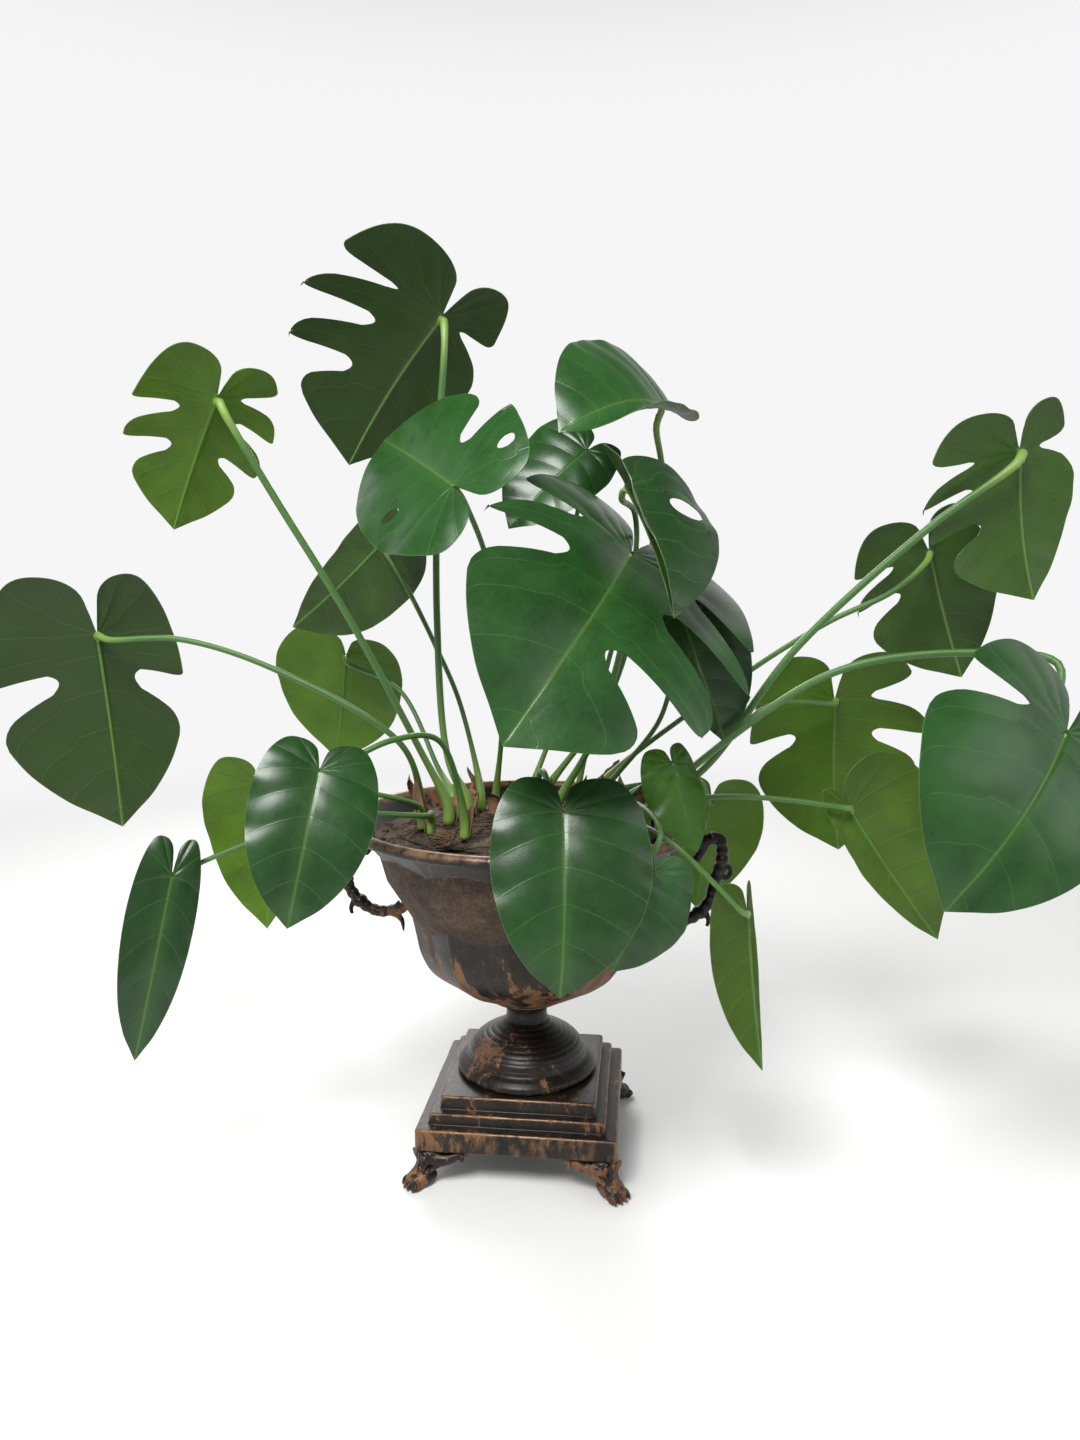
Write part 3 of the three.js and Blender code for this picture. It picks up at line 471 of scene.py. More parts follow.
def carry_wear(mesh, reach=0.004, rounds=2):
    """Stores how much each vertex stands out from its neighbours, from -1 in a groove to 1 on a ridge."""
    count = len(mesh.vertices)
    points, normals = np.empty(count * 3), np.empty(count * 3)
    mesh.vertices.foreach_get("co", points)
    mesh.vertex_normals.foreach_get("vector", normals)
    points, normals = points.reshape(-1, 3), normals.reshape(-1, 3)
    edges = np.empty(len(mesh.edges) * 2, int)
    mesh.edges.foreach_get("vertices", edges)
    first, second = edges.reshape(-1, 2).T
    links = np.maximum(np.bincount(edges, minlength=count), 1)

    def gathered(at_first, at_second):
        return (np.bincount(first, at_first, count) + np.bincount(second, at_second, count)) / links

    steps = points[second] - points[first]
    length = np.maximum(np.einsum("ij,ij->i", steps, steps), 1e-12)
    rise = np.einsum("ij,ij->i", steps, normals[first]) / length
    fall = np.einsum("ij,ij->i", steps, normals[second]) / length
    bulge = gathered(-rise, fall)
    for _ in range(rounds):
        bulge = 0.5 * bulge + 0.5 * gathered(bulge[second], bulge[first])
    carry(mesh, "wear", np.tanh(bulge * reach))


def adopt(piece, slot, *nodes):
    """The piece rides on the body and stands for its CAD nodes, which it hides. The slot is not used."""
    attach(piece, "root")
    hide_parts(*nodes)


def turned_over(faces):
    return [tuple(reversed(face)) for face in faces]


def add_shape(points, faces, more_points, more_faces):
    """Adds a shape to the points and faces of a mesh being built."""
    faces += [tuple(i + len(points) for i in face) for face in more_faces]
    points += [tuple(p) for p in more_points]


def ring(reach_x, reach_y, height, around):
    """Points round a level ellipse."""
    turns = [2 * math.pi * j / around for j in range(around)]
    return [(reach_x * math.cos(turn), reach_y * math.sin(turn), height) for turn in turns]


def disc_faces(rings, around):
    """Faces of a disc whose first point is its middle and whose others lie in rings round it."""
    faces = [(0, 1 + j, 1 + (j + 1) % around) for j in range(around)]
    for i in range(rings - 1):
        for j in range(around):
            a, b = 1 + i * around + j, 1 + i * around + (j + 1) % around
            faces.append((a, a + around, b + around, b))
    return faces


def grid_faces(rows, columns, wrap_rows=False, wrap_columns=False):
    faces = []
    for i in range(rows if wrap_rows else rows - 1):
        for j in range(columns if wrap_columns else columns - 1):
            k, m = (i + 1) % rows, (j + 1) % columns
            faces.append((i * columns + j, i * columns + m, k * columns + m, k * columns + j))
    return faces


def run_along(points):
    """How far along the path each point lies."""
    return np.concatenate([[0], np.cumsum(np.linalg.norm(np.diff(points, axis=0), axis=1))])


def cubic(p1, p2, start, end, count):
    """Even steps of the curve from p1 to p2 that leaves along start and arrives along end."""
    a, b = 2 * p1 - 2 * p2 + start + end, -3 * p1 + 3 * p2 - 2 * start - end
    return [((a * s + b) * s + start) * s + p1 for s in np.linspace(0, 1, count, endpoint=False)]


def spline(points, count):
    """Evenly spaced points on a smooth centripetal curve through points."""
    points = np.asarray(points, float)
    padded = np.vstack([2 * points[0] - points[1], points, 2 * points[-1] - points[-2]])
    fine = []
    for i in range(1, len(padded) - 2):
        p0, p1, p2, p3 = padded[i - 1 : i + 3]
        steps = (p1 - p0, p2 - p1, p3 - p2)
        d0, d1, d2 = (max(math.sqrt(np.linalg.norm(step)), 1e-9) for step in steps)
        start = ((p1 - p0) / d0 - (p2 - p0) / (d0 + d1) + (p2 - p1) / d1) * d1
        end = ((p2 - p1) / d1 - (p3 - p1) / (d1 + d2) + (p3 - p2) / d2) * d1
        fine += cubic(p1, p2, start, end, 24)
    fine = np.array([*fine, points[-1]])
    run = run_along(fine)
    at = np.linspace(0, run[-1], count)
    return np.stack([np.interp(at, run, fine[:, axis]) for axis in range(fine.shape[1])], axis=1)


def swept(path, radii, sides, section=None):
    """Closed tube along a path. section(angle, share) scales the radius round the tube."""
    tangents = np.gradient(path, axis=0)
    tangents /= np.linalg.norm(tangents, axis=1)[:, None]
    side = np.cross(tangents[0], (0.0, 0.0, 1.0) if abs(tangents[0][2]) < 0.9 else (1.0, 0.0, 0.0))
    points, carried = [], []
    total = len(path)
    for i, (centre, forward, radius) in enumerate(zip(path, tangents, radii)):
        side = side - forward * side.dot(forward)
        side /= np.linalg.norm(side)
        up = np.cross(forward, side)
        share = i / (total - 1)
        for j in range(sides):
            angle = 2 * math.pi * j / sides
            reach = radius * (section(angle, share) if section else 1.0)
            points.append(centre + reach * (math.cos(angle) * side + math.sin(angle) * up))
            carried.append((share, 0.5 + 0.5 * math.sin(angle), radius))
    faces = grid_faces(total, sides, wrap_columns=True)
    for end in (0, total - 1):
        centre = len(points)
        points.append(path[end])
        carried.append((end / (total - 1), 0.5, radii[end]))
        for j in range(sides):
            a, b = end * sides + j, end * sides + (j + 1) % sides
            faces.append((a, b, centre) if end else (b, a, centre))
    return np.array(points), faces, np.array(carried)


def lathed(profile, segments, press=None, pressed=0):
    """Closed profile turned about the vertical axis. Its first pressed points move in by press(angle,
    radius, height)."""
    points = []
    for j in range(segments):
        angle = 2 * math.pi * j / segments
        for i, (radius, height) in enumerate(profile):
            reach = radius - (press(angle, radius, height) if i < pressed else 0.0)
            points.append((reach * math.cos(angle), reach * math.sin(angle), height))
    return points, turned_over(grid_faces(segments, len(profile), wrap_rows=True, wrap_columns=True))


def melded(name, parts, voxel, material, smoothing=4):
    """Closed shapes melted into one cast skin."""
    points, faces = [], []
    for part in parts:
        add_shape(points, faces, *part)
    rough = make_object(name + "_rough", points, faces, material)
    remesh = rough.modifiers.new("Skin", "REMESH")
    remesh.mode = "VOXEL"
    remesh.voxel_size = voxel
    soften = rough.modifiers.new("Soften", "SMOOTH")
    soften.iterations = smoothing
    soften.factor = 0.5
    bpy.context.view_layer.update()
    mesh = bpy.data.meshes.new_from_object(rough.evaluated_get(bpy.context.evaluated_depsgraph_get()))
    bpy.data.objects.remove(rough)
    mesh.name = name
    mesh.materials.clear()
    mesh.materials.append(material)
    mesh.polygons.foreach_set("use_smooth", [True] * len(mesh.polygons))
    made = bpy.data.objects.new(name, mesh)
    bpy.context.scene.collection.objects.link(made)
    return made


def blob(centre, radii, turn=0.0, tilt=0.0, detail=2):
    """Ellipsoid, turned about the vertical axis and tilted nose-down."""
    shape = bmesh.new()
    bmesh.ops.create_icosphere(shape, subdivisions=detail, radius=1.0)
    matrix = Matrix.Translation(centre) @ Matrix.Rotation(turn, 4, "Z") @ Matrix.Rotation(tilt, 4, "Y")
    matrix = matrix @ Matrix.Diagonal((*radii, 1.0))
    points = [matrix @ v.co for v in shape.verts]
    faces = [tuple(v.index for v in f.verts) for f in shape.faces]
    shape.free()
    return points, faces


def cast_tube(points, start, end, sides=12, ridge=0.0, ridges=0, count=40):
    """Tapered tube through points, with ring ridges, for melting into a casting."""
    path = spline(points, count)
    share = np.linspace(0, 1, count)
    radii = start + (end - start) * share
    if ridges:
        radii = radii * (1 + ridge * np.sin(2 * math.pi * ridges * share))
    shape, faces, _ = swept(path, radii, sides)
    return shape, faces


# The leaves, in millimetres, in a frame turned about the vertical from the urn's.

# A leaf marked pale takes the paler colours, which are painted backlight for a leaf lit from behind.
LEAF_DEFAULTS = {
    "lobe": 0.2, "fold": [8, 8], "curl": [-25, -25], "droop": 20, "hang": 20,
    "slits": [[], []], "pale": False,
}
# Each leaf: where its stalk joins (at), heading, pitch and roll (turn), length, half widths as shares of the
# length (left, right), how far the heart's lobes reach back (lobe), degrees that the halves fold and curl up,
# the tip droops and the lobes hang, slits of each half as [place, inner end, outer end, gap], stalk radius,
# the stalk's root on the crown and the points that it passes.
LEAVES = {
    "01": {
        "at": [-105, 70, 1045], "turn": [149, -41, 28], "long": 225, "half": [0.74, 0.4], "lobe": 0.3,
        "droop": 25,
        "slits": [
            [[0.4, 0.35, 1, 0.05], [0.55, 0.35, 1, 0.05], [0.7, 0.4, 1, 0.05]],
            [[0.4, 0.35, 1, 0.05]],
        ],
        "stalk": 5.5, "root": [-75, 30], "by": [[-100, 30, 495], [-115, 60, 670], [-110, 60, 895]],
    },
    "02": {
        "at": [-320, -140, 905], "turn": [142, -51, 21], "long": 155, "half": [0.52, 0.46], "lobe": 0.3,
        "pale": True,
        "slits": [
            [[0.5, 0.35, 1, 0.05], [0.66, 0.35, 1, 0.05]],
            [[0.33, 0.35, 1, 0.04], [0.5, 0.35, 1, 0.04], [0.66, 0.35, 1, 0.04]],
        ],
        "stalk": 5, "root": [-95, -5], "by": [[-130, -30, 520], [-200, -80, 675], [-275, -120, 815]],
    },
    "03": {
        "at": [-75, -140, 815], "turn": [125, 24, -53], "long": 200, "half": [0.52, 0.56], "lobe": 0.3,
        "droop": 10,
        "slits": [[[0.52, 0.5, 0.75, 0.02]], [[0.3, 0.6, 0.85, 0.02], [0.52, 0.35, 1, 0.07]]], "stalk": 4,
        "root": [-40, 45], "by": [[-30, 0, 550], [-40, -40, 720]],
    },
    "04": {
        "at": [-180, 80, 775], "turn": [151, -39, 86], "long": 185, "half": [0.23, 0.44], "stalk": 4,
        "root": [-60, 75], "by": [[-90, 95, 560], [-120, 88, 635], [-152, 38, 715]],
    },
    "05": {
        "at": [-265, 220, 615], "turn": [112, -66, 34], "long": 170, "half": [0.63, 0.54], "droop": 10,
        "pale": True, "stalk": 4, "root": [-95, 60], "by": [[-120, 100, 470], [-180, 165, 570]],
    },
    "06": {
        "at": [-510, -30, 655], "turn": [93, -76, -16], "long": 240, "half": [0.56, 0.38], "lobe": 0.3,
        "droop": 25, "slits": [[[0.55, 0.35, 1, 0.06]], [[0.55, 0.35, 1, 0.06]]], "stalk": 4.5,
        "root": [-130, 10], "by": [[-150, -40, 525], [-295, -50, 615], [-405, -50, 650]],
    },
    "07": {
        "at": [-205, -225, 525], "turn": [-99, -57, -24], "long": 160, "half": [0.41, 0.39], "droop": 35,
        "stalk": 4, "root": [-70, -75], "by": [[-95, -120, 540], [-140, -170, 548]],
    },
    "08": {
        "at": [-295, -120, 490], "turn": [90, -75, 0], "long": 170, "half": [0.4, 0.24], "droop": 30,
        "pale": True, "stalk": 3.5, "root": [-125, -30], "by": [[-145, -80, 465], [-220, -110, 485]],
    },
    "09": {
        "at": [-380, -170, 400], "turn": [-113, -71, -44], "long": 205, "half": [0.16, 0.19], "droop": 25,
        "stalk": 3.5, "root": [-110, -60],
        "by": [[-115, -120, 455], [-200, -140, 460], [-300, -130, 430]],
    },
    "10": {
        "at": [115, -130, 745], "turn": [-109, -24, -40], "long": 300, "half": [0.62, 0.5], "lobe": 0.3,
        "droop": 45,
        "slits": [
            [[0.42, 0.4, 1, 0.05], [0.57, 0.3, 1, 0.06], [0.74, 0.2, 1, 0.05]],
            [[0.42, 0.4, 1, 0.05], [0.57, 0.35, 1, 0.06]],
        ],
        "stalk": 5, "root": [35, -10], "by": [[80, -20, 525], [115, -70, 675]],
    },
    "11": {
        "at": [165, 0, 925], "turn": [-125, 1, -48], "long": 170, "half": [0.29, 0.67], "droop": 60,
        "curl": [70, -25], "stalk": 5, "root": [20, 60], "by": [[105, 50, 570], [165, 20, 840]],
    },
    "12": {
        "at": [105, -180, 810], "turn": [-52, -54, 4], "long": 150, "half": [0.66, 0.24], "lobe": 0.3,
        "fold": [8, 60], "slits": [[[0.5, 0.4, 0.85, 0.05]], []], "stalk": 4, "root": [60, 15],
        "by": [[95, -5, 600], [125, -70, 745], [120, -110, 790]],
    },
    "13": {
        "at": [75, 50, 880], "turn": [-157, -39, -50], "long": 140, "half": [0.38, 0.51], "stalk": 4,
        "root": [0, 20], "by": [[45, 50, 570], [55, 60, 745]],
    },
    "14": {
        "at": [180, -50, 680], "turn": [-38, -65, 55], "long": 165, "half": [0.39, 0.2], "droop": 30,
        "stalk": 4, "root": [85, 20], "by": [[165, 0, 550], [180, -20, 635]],
    },
    "16": {
        "at": [40, -260, 490], "turn": [-88, -58, -6], "long": 180, "half": [0.49, 0.4], "droop": 40,
        "stalk": 4, "root": [10, -95], "by": [[20, -200, 520]],
    },
    "17": {
        "at": [130, -240, 425], "turn": [-131, -64, -66], "long": 110, "half": [0.54, 0.42], "droop": 30,
        "stalk": 3.5, "root": [75, -90], "by": [[115, -140, 475], [140, -220, 460]],
    },
    "18": {
        "at": [235, -200, 370], "turn": [55, -78, -35], "long": 180, "half": [0.24, 0.06],
        "fold": [8, 50], "pale": True, "stalk": 3.5, "root": [115, -70],
        "by": [[128, -150, 452], [158, -203, 442], [200, -215, 402]],
    },
    "19": {
        "at": [160, -150, 520], "turn": [-53, -63, 30], "long": 100, "half": [0.25, 0.4], "pale": True,
        "stalk": 3.5, "root": [115, -25], "by": [[145, -100, 495]],
    },
    "21": {
        "at": [270, 215, 405], "turn": [93, -62, 9], "long": 200, "half": [0.38, 0.41], "pale": True,
        "stalk": 4, "root": [108, 74], "by": [[190, 90, 455], [240, 140, 445]],
    },
    "22": {
        "at": [420, 130, 560], "turn": [74, -82, -22], "long": 210, "half": [0.58, 0.64], "lobe": 0.3,
        "pale": True, "slits": [[[0.55, 0.4, 1, 0.05]], [[0.36, 0.4, 1, 0.06], [0.55, 0.4, 1, 0.05]]],
        "stalk": 4.5, "root": [126, 44], "by": [[225, 50, 490], [315, 60, 560]],
    },
    "23": {
        "at": [495, 20, 755], "turn": [39, -63, -46], "long": 170, "half": [0.6, 0.42], "lobe": 0.3,
        "slits": [[[0.42, 0.4, 1, 0.05], [0.56, 0.4, 1, 0.05]], []], "stalk": 4.5, "root": [90, 95],
        "by": [[270, 30, 600], [370, 0, 670], [440, -10, 705]],
    },
    "24": {
        "at": [550, -80, 860], "turn": [60, -64, -38], "long": 175, "half": [0.69, 0.36], "lobe": 0.3,
        "droop": 25,
        "slits": [
            [[0.38, 0.4, 1, 0.05], [0.52, 0.4, 1, 0.05], [0.66, 0.4, 1, 0.05]],
            [[0.38, 0.4, 1, 0.05]],
        ],
        "stalk": 6, "root": [135, 5], "by": [[210, -20, 485], [320, -40, 640], [455, -70, 775]],
    },
    "25": {
        "at": [390, -40, 445], "turn": [-3, -57, -111], "long": 190, "half": [0.17, 0.6], "droop": 10,
        "pale": True, "stalk": 4, "root": [140, -15], "by": [[220, -40, 460], [300, -50, 460]],
    },
    "26": {
        "at": [535, -240, 565], "turn": [-135, -39, -55], "long": 225, "half": [0.42, 0.6], "lobe": 0.3,
        "droop": 40, "slits": [[], [[0.42, 0.35, 1, 0.06]]], "stalk": 5.5, "root": [140, -50],
        "by": [[245, -80, 545], [350, -120, 620], [485, -150, 640], [555, -180, 630]],
    },
}
LEAF_DATUM = 433.1
ROOT_PLOT = (160.0, 112.0)
LIFT = BOWL_HIGH.z / MM - LEAF_DATUM
CROWN_TOP = CROWN_HIGH.z / MM
COLUMNS_PER_VEIN = 8
VEINS = 9
ROWS = (
    0, 0.008, 0.018, 0.03, 0.045, 0.065, 0.095, 0.14, 0.2, 0.27, 0.34, 0.42,
    0.5, 0.58, 0.66, 0.74, 0.81, 0.87, 0.92, 0.955, 0.98, 1,
)


def outline_table():
    """Half of a heart-shaped outline, by even steps of its length from the sinus to the tip."""
    corners = np.array(
        [
            (-0.02, 0.015), (-0.14, 0.05), (-0.19, 0.18), (-0.17, 0.34), (-0.02, 0.47), (0.2, 0.52),
            (0.44, 0.49), (0.66, 0.39), (0.83, 0.24), (0.93, 0.1), (1.0, 0.0),
        ]
    )
    padded = np.vstack([corners[0], corners, corners[-1]])
    fine = []
    for i in range(1, len(padded) - 2):
        p0, p1, p2, p3 = padded[i - 1 : i + 3]
        fine += cubic(p1, p2, 0.5 * (p2 - p0), 0.5 * (p3 - p1), 30)
    fine = np.array([*fine, corners[-1]])
    run = run_along(fine)
    return run / run[-1], fine


OUTLINE_RUN, OUTLINE = outline_table()


def rib_point(t, q, half, lobe):
    """Flat blade point: t runs along the margin from sinus to tip, q from midrib to margin along a rib."""
    ex = np.interp(t, OUTLINE_RUN, OUTLINE[:, 0])
    ey = np.interp(t, OUTLINE_RUN, OUTLINE[:, 1]) * half / WIDEST
    ex = np.where(ex < 0, ex * lobe / HEART_LOBE, ex)
    start = np.where(t < RIB_START, 0.0, (np.clip(t - RIB_START, 0, 1) / (1 - RIB_START)) ** 1.1)
    mid_x = np.where(t < RIB_START, 0.5 * ex - 0.02, start + 0.3 * (ex - start))
    away = 2 * q * (1 - q)
    return (1 - q) ** 2 * start + away * mid_x + q * q * ex, away * 0.58 * ey + q * q * ey


def bend(length, start, rate):
    """Straight up to start, then a circular bend of rate radians per millimetre."""
    if abs(rate) < 1e-9:
        return length, np.zeros_like(length)
    past = np.maximum(0, length - start)
    return np.minimum(length, start) + np.sin(rate * past) / rate, (1 - np.cos(rate * past)) / rate


def shaped(x, y, side, leaf):
    """Bends flat blade points: halves fold up along the midrib and curl to their margins, the tip droops."""
    which = 0 if side > 0 else 1
    long = leaf["long"]
    half = leaf["half"][which] * long
    fold = math.radians(leaf["fold"][which])
    flat_part = 0.15 * half
    across, rise = bend(y * long, flat_part, math.radians(leaf["curl"][which]) / (half - flat_part))
    out = across * math.cos(fold) - rise * math.sin(fold)
    share = np.minimum(1, y / leaf["half"][which])
    wave = BLADE_RIPPLE * np.sin((x + 0.3) * 9 + side) * share**2
    ripple = wave + 0.8 * np.sin(x * 31 + 2 * side) * share**4
    up = across * math.sin(fold) + rise * math.cos(fold) + ripple
    along = x * long
    hold = 0.1 * long
    back = math.radians(leaf["hang"]) / (0.3 * long)
    tip = math.radians(leaf["droop"]) / (long - hold)
    run_back, dip_back = bend(np.maximum(-along, 0), 0, back)
    run_tip, dip_tip = bend(np.maximum(along, 0), hold, tip)
    behind = along < 0
    axial = np.where(behind, -run_back, run_tip)
    dip = np.where(behind, dip_back, dip_tip)
    slope = np.where(behind, back * along, tip * np.maximum(0, along - hold))
    return np.stack([axial + up * np.sin(slope), side * out, up * np.cos(slope) - dip], axis=-1)


def slit_width(q, slit):
    """Half width at rib share q of a slit that widens from a rounded inner end, or of a closed hole."""
    _, inner, outer, gap = slit
    if q <= inner + 1e-6 or (outer < 1 and q >= outer - 1e-6):
        return 0.0
    if outer < 1:
        return gap * math.sqrt(1 - ((2 * (q - inner)) / (outer - inner) - 1) ** 2)
    share = (q - inner) / (1 - inner)
    return gap * (0.42 * math.sqrt(min(1, share / 0.12)) + 0.58 * share)


def corner_cut(q, width):
    """How far a lobe's rounded corner has moved in at rib share q."""
    past = max(0.0, (q - 0.78) / 0.22)
    return width * (1 - math.sqrt(max(0.0, 1 - past * past)))


def half_blade(leaf, side):
    """Grids of one half, a lobe at a time: flat points, distance to a lateral vein and place between two."""
    which = 0 if side > 0 else 1
    slits = leaf["slits"][which]
    rows = set(ROWS)
    for _, inner, outer, _ in slits:
        rows |= {inner, inner + 0.01, inner + 0.025, inner + 0.05, inner + 0.08, outer}
        if outer < 1:
            rows |= {outer - 0.01, outer - 0.03, (inner + outer) / 2}
    kept = []
    named = {value for slit in slits for value in slit[1:3]}
    for q in sorted(rows):
        if q in named or q == 1 or not kept or q - kept[-1] > 0.006:
            kept.append(q)
    breaks = sorted({0, 1} | {slit[0] for half in leaf["slits"] for slit in half})
    grids = []
    for begin, end in zip(breaks, breaks[1:]):
        low = next((slit for slit in slits if slit[0] == begin), None)
        high = next((slit for slit in slits if slit[0] == end), None)
        veins = max(1, round((end - begin) * VEINS))
        columns = veins * COLUMNS_PER_VEIN
        steps = np.arange(columns + 1)
        corner = min(0.05, 0.34 * (end - begin))
        t = np.empty((len(kept), columns + 1))
        for i, q in enumerate(kept):
            first = begin + (slit_width(q, low) if low else 0)
            last = end - (slit_width(q, high) if high else 0)
            if low and low[2] == 1:
                first += corner_cut(q, corner)
            if high and high[2] == 1:
                last -= corner_cut(q, 0.3 * corner)
            t[i] = first + (last - first) * steps / columns
        q = np.repeat(np.array(kept)[:, None], columns + 1, axis=1)
        x, y = rib_point(t, q, leaf["half"][which], leaf["lobe"])
        step = np.hypot(np.diff(x, axis=1), np.diff(y, axis=1))
        step = np.hstack([step, step[:, -1:]]) * leaf["long"]
        away = np.abs((steps % COLUMNS_PER_VEIN) - COLUMNS_PER_VEIN / 2)
        grids.append((x, y, q, away[None, :] * step, np.repeat(away[None, :], len(kept), axis=0) / 4))
    return grids


def leaf_axes(leaf):
    """Forward, across and up of a blade in the plant's frame."""
    heading, pitch, roll = (math.radians(angle) for angle in leaf["turn"])
    flat = math.cos(pitch)
    forward = np.array([math.cos(heading) * flat, math.sin(heading) * flat, math.sin(pitch)])
    level = np.array([-math.sin(heading), math.cos(heading), 0.0])
    across = level * math.cos(roll) + np.cross(forward, level) * math.sin(roll)
    return forward, across, np.cross(forward, across)


def placed(points):
    """Points of the plant's frame, in millimetres, as points of the urn's, in metres."""
    c, s = math.cos(PLANT_TURN), math.sin(PLANT_TURN)
    x, y, z = np.asarray(points, float).T
    return np.stack([c * x - s * y, s * x + c * y, z + LIFT], axis=1) * MM


def blade_points(leaf, sizes):
    """Closed thin blade with quilting between its veins and a midrib standing out below."""
    index, flat, faces = {}, [], []
    for side in (1, -1):
        for x, y, q, vein, place in half_blade(leaf, side):
            ids = np.empty(x.shape, int)
            for at in np.ndindex(x.shape):
                key = (round(x[at] * 2e4), round(side * y[at] * 2e4))
                if key not in index:
                    index[key] = len(flat)
                    flat.append((x[at], y[at], side, q[at], vein[at], place[at]))
                ids[at] = index[key]
            a, b, c, d = ids[:-1, :-1], ids[:-1, 1:], ids[1:, 1:], ids[1:, :-1]
            for corners in zip(a.ravel(), b.ravel(), c.ravel(), d.ravel()):
                kept = tuple(dict.fromkeys(corners if side > 0 else reversed(corners)))
                if len(kept) > 2:
                    faces.append(kept)
    flat = np.array(flat)
    x, y, side, q, vein, place = flat.T
    points = np.where((side > 0)[:, None], shaped(x, y, 1, leaf), shaped(x, y, -1, leaf))
    normals = np.zeros_like(points)
    for face in faces:
        p = points[list(face)]
        normal = np.cross(p[1] - p[0], p[2] - p[0])
        if len(face) == 4:
            normal = normal + np.cross(p[2] - p[0], p[3] - p[0])
        for i in face:
            normals[i] += normal
    if normals[:, 2].sum() < 0:
        normals = -normals
        faces = turned_over(faces)
    normals /= np.maximum(np.linalg.norm(normals, axis=1), 1e-12)[:, None]
    rib = np.hypot(np.minimum(x, 0), y) * leaf["long"]
    root = sizes.midrib * leaf["stalk"] * (1 - 0.86 * np.clip(x, 0, 1))
    ridge = np.exp(-((rib / (1.15 * root)) ** 2))
    swell = np.minimum(1, q / 0.16) * (1 - 0.85 * q**7)
    quilt = sizes.quilt / MM * (np.sin(0.5 * math.pi * place) - 0.55) * swell
    thick = 0.5 * sizes.blade / MM
    upper = points + normals * (quilt + thick - 0.3 * root * ridge)[:, None]
    lower = points + normals * (quilt - thick - 1.25 * root * ridge)[:, None]
    edges = {pair: True for face in faces for pair in zip(face, face[1:] + face[:1])}
    rim = [(a, b) for a, b in edges if (b, a) not in edges]
    count = len(points)
    skin = list(faces) + [tuple(i + count for i in reversed(face)) for face in faces]
    skin += [(b, a, a + count, b + count) for a, b in rim]
    forward, across, up = leaf_axes(leaf)
    both = np.vstack([upper, lower])
    world = both @ np.stack([forward, across, up]) + np.array(leaf["at"], float)
    edge = (1 - q) * np.where(side > 0, leaf["half"][0], leaf["half"][1]) * leaf["long"]
    veins = np.stack([vein, rib, edge], axis=1)
    blade = np.stack([x * leaf["long"], side * y * leaf["long"], np.zeros(count)], axis=1) * MM
    below = blade + (0.0, 0.0, 1.0)
    return placed(world), skin, np.vstack([veins, veins]), np.vstack([blade, below]), rim, count


def stalk_path(leaf):
    """The stalk rises from the crown through its way points, bends at the knee and runs into the midrib."""
    forward, _, up = leaf_axes(leaf)
    joint = np.array(leaf["at"], float)
    aside = np.array(leaf["by"][-1], float) - joint
    aside /= np.linalg.norm(aside)
    reach = KNEE_SHARE * leaf["long"]
    knee = joint - 0.7 * reach * up + 0.6 * reach * aside
    end = joint - (0.9 * leaf["stalk"] + STALK_GAP) * up
    merge = joint - 0.45 * leaf["stalk"] * up + 2.0 * leaf["stalk"] * forward
    root = np.array([leaf["root"][0] * CROWN_HIGH.x, leaf["root"][1] * CROWN_HIGH.y]) / MM / ROOT_PLOT
    ground = CROWN_TOP - LIFT
    way = [(*root, ground - STALK_SUNK), (*root, ground + STALK_LIFT), *leaf["by"]]
    return spline([*way, tuple(knee), tuple(end), tuple(merge)], 76)


def leaf_of(own):
    return LEAF_DEFAULTS | own


# Operators, one for each piece or group of like pieces.


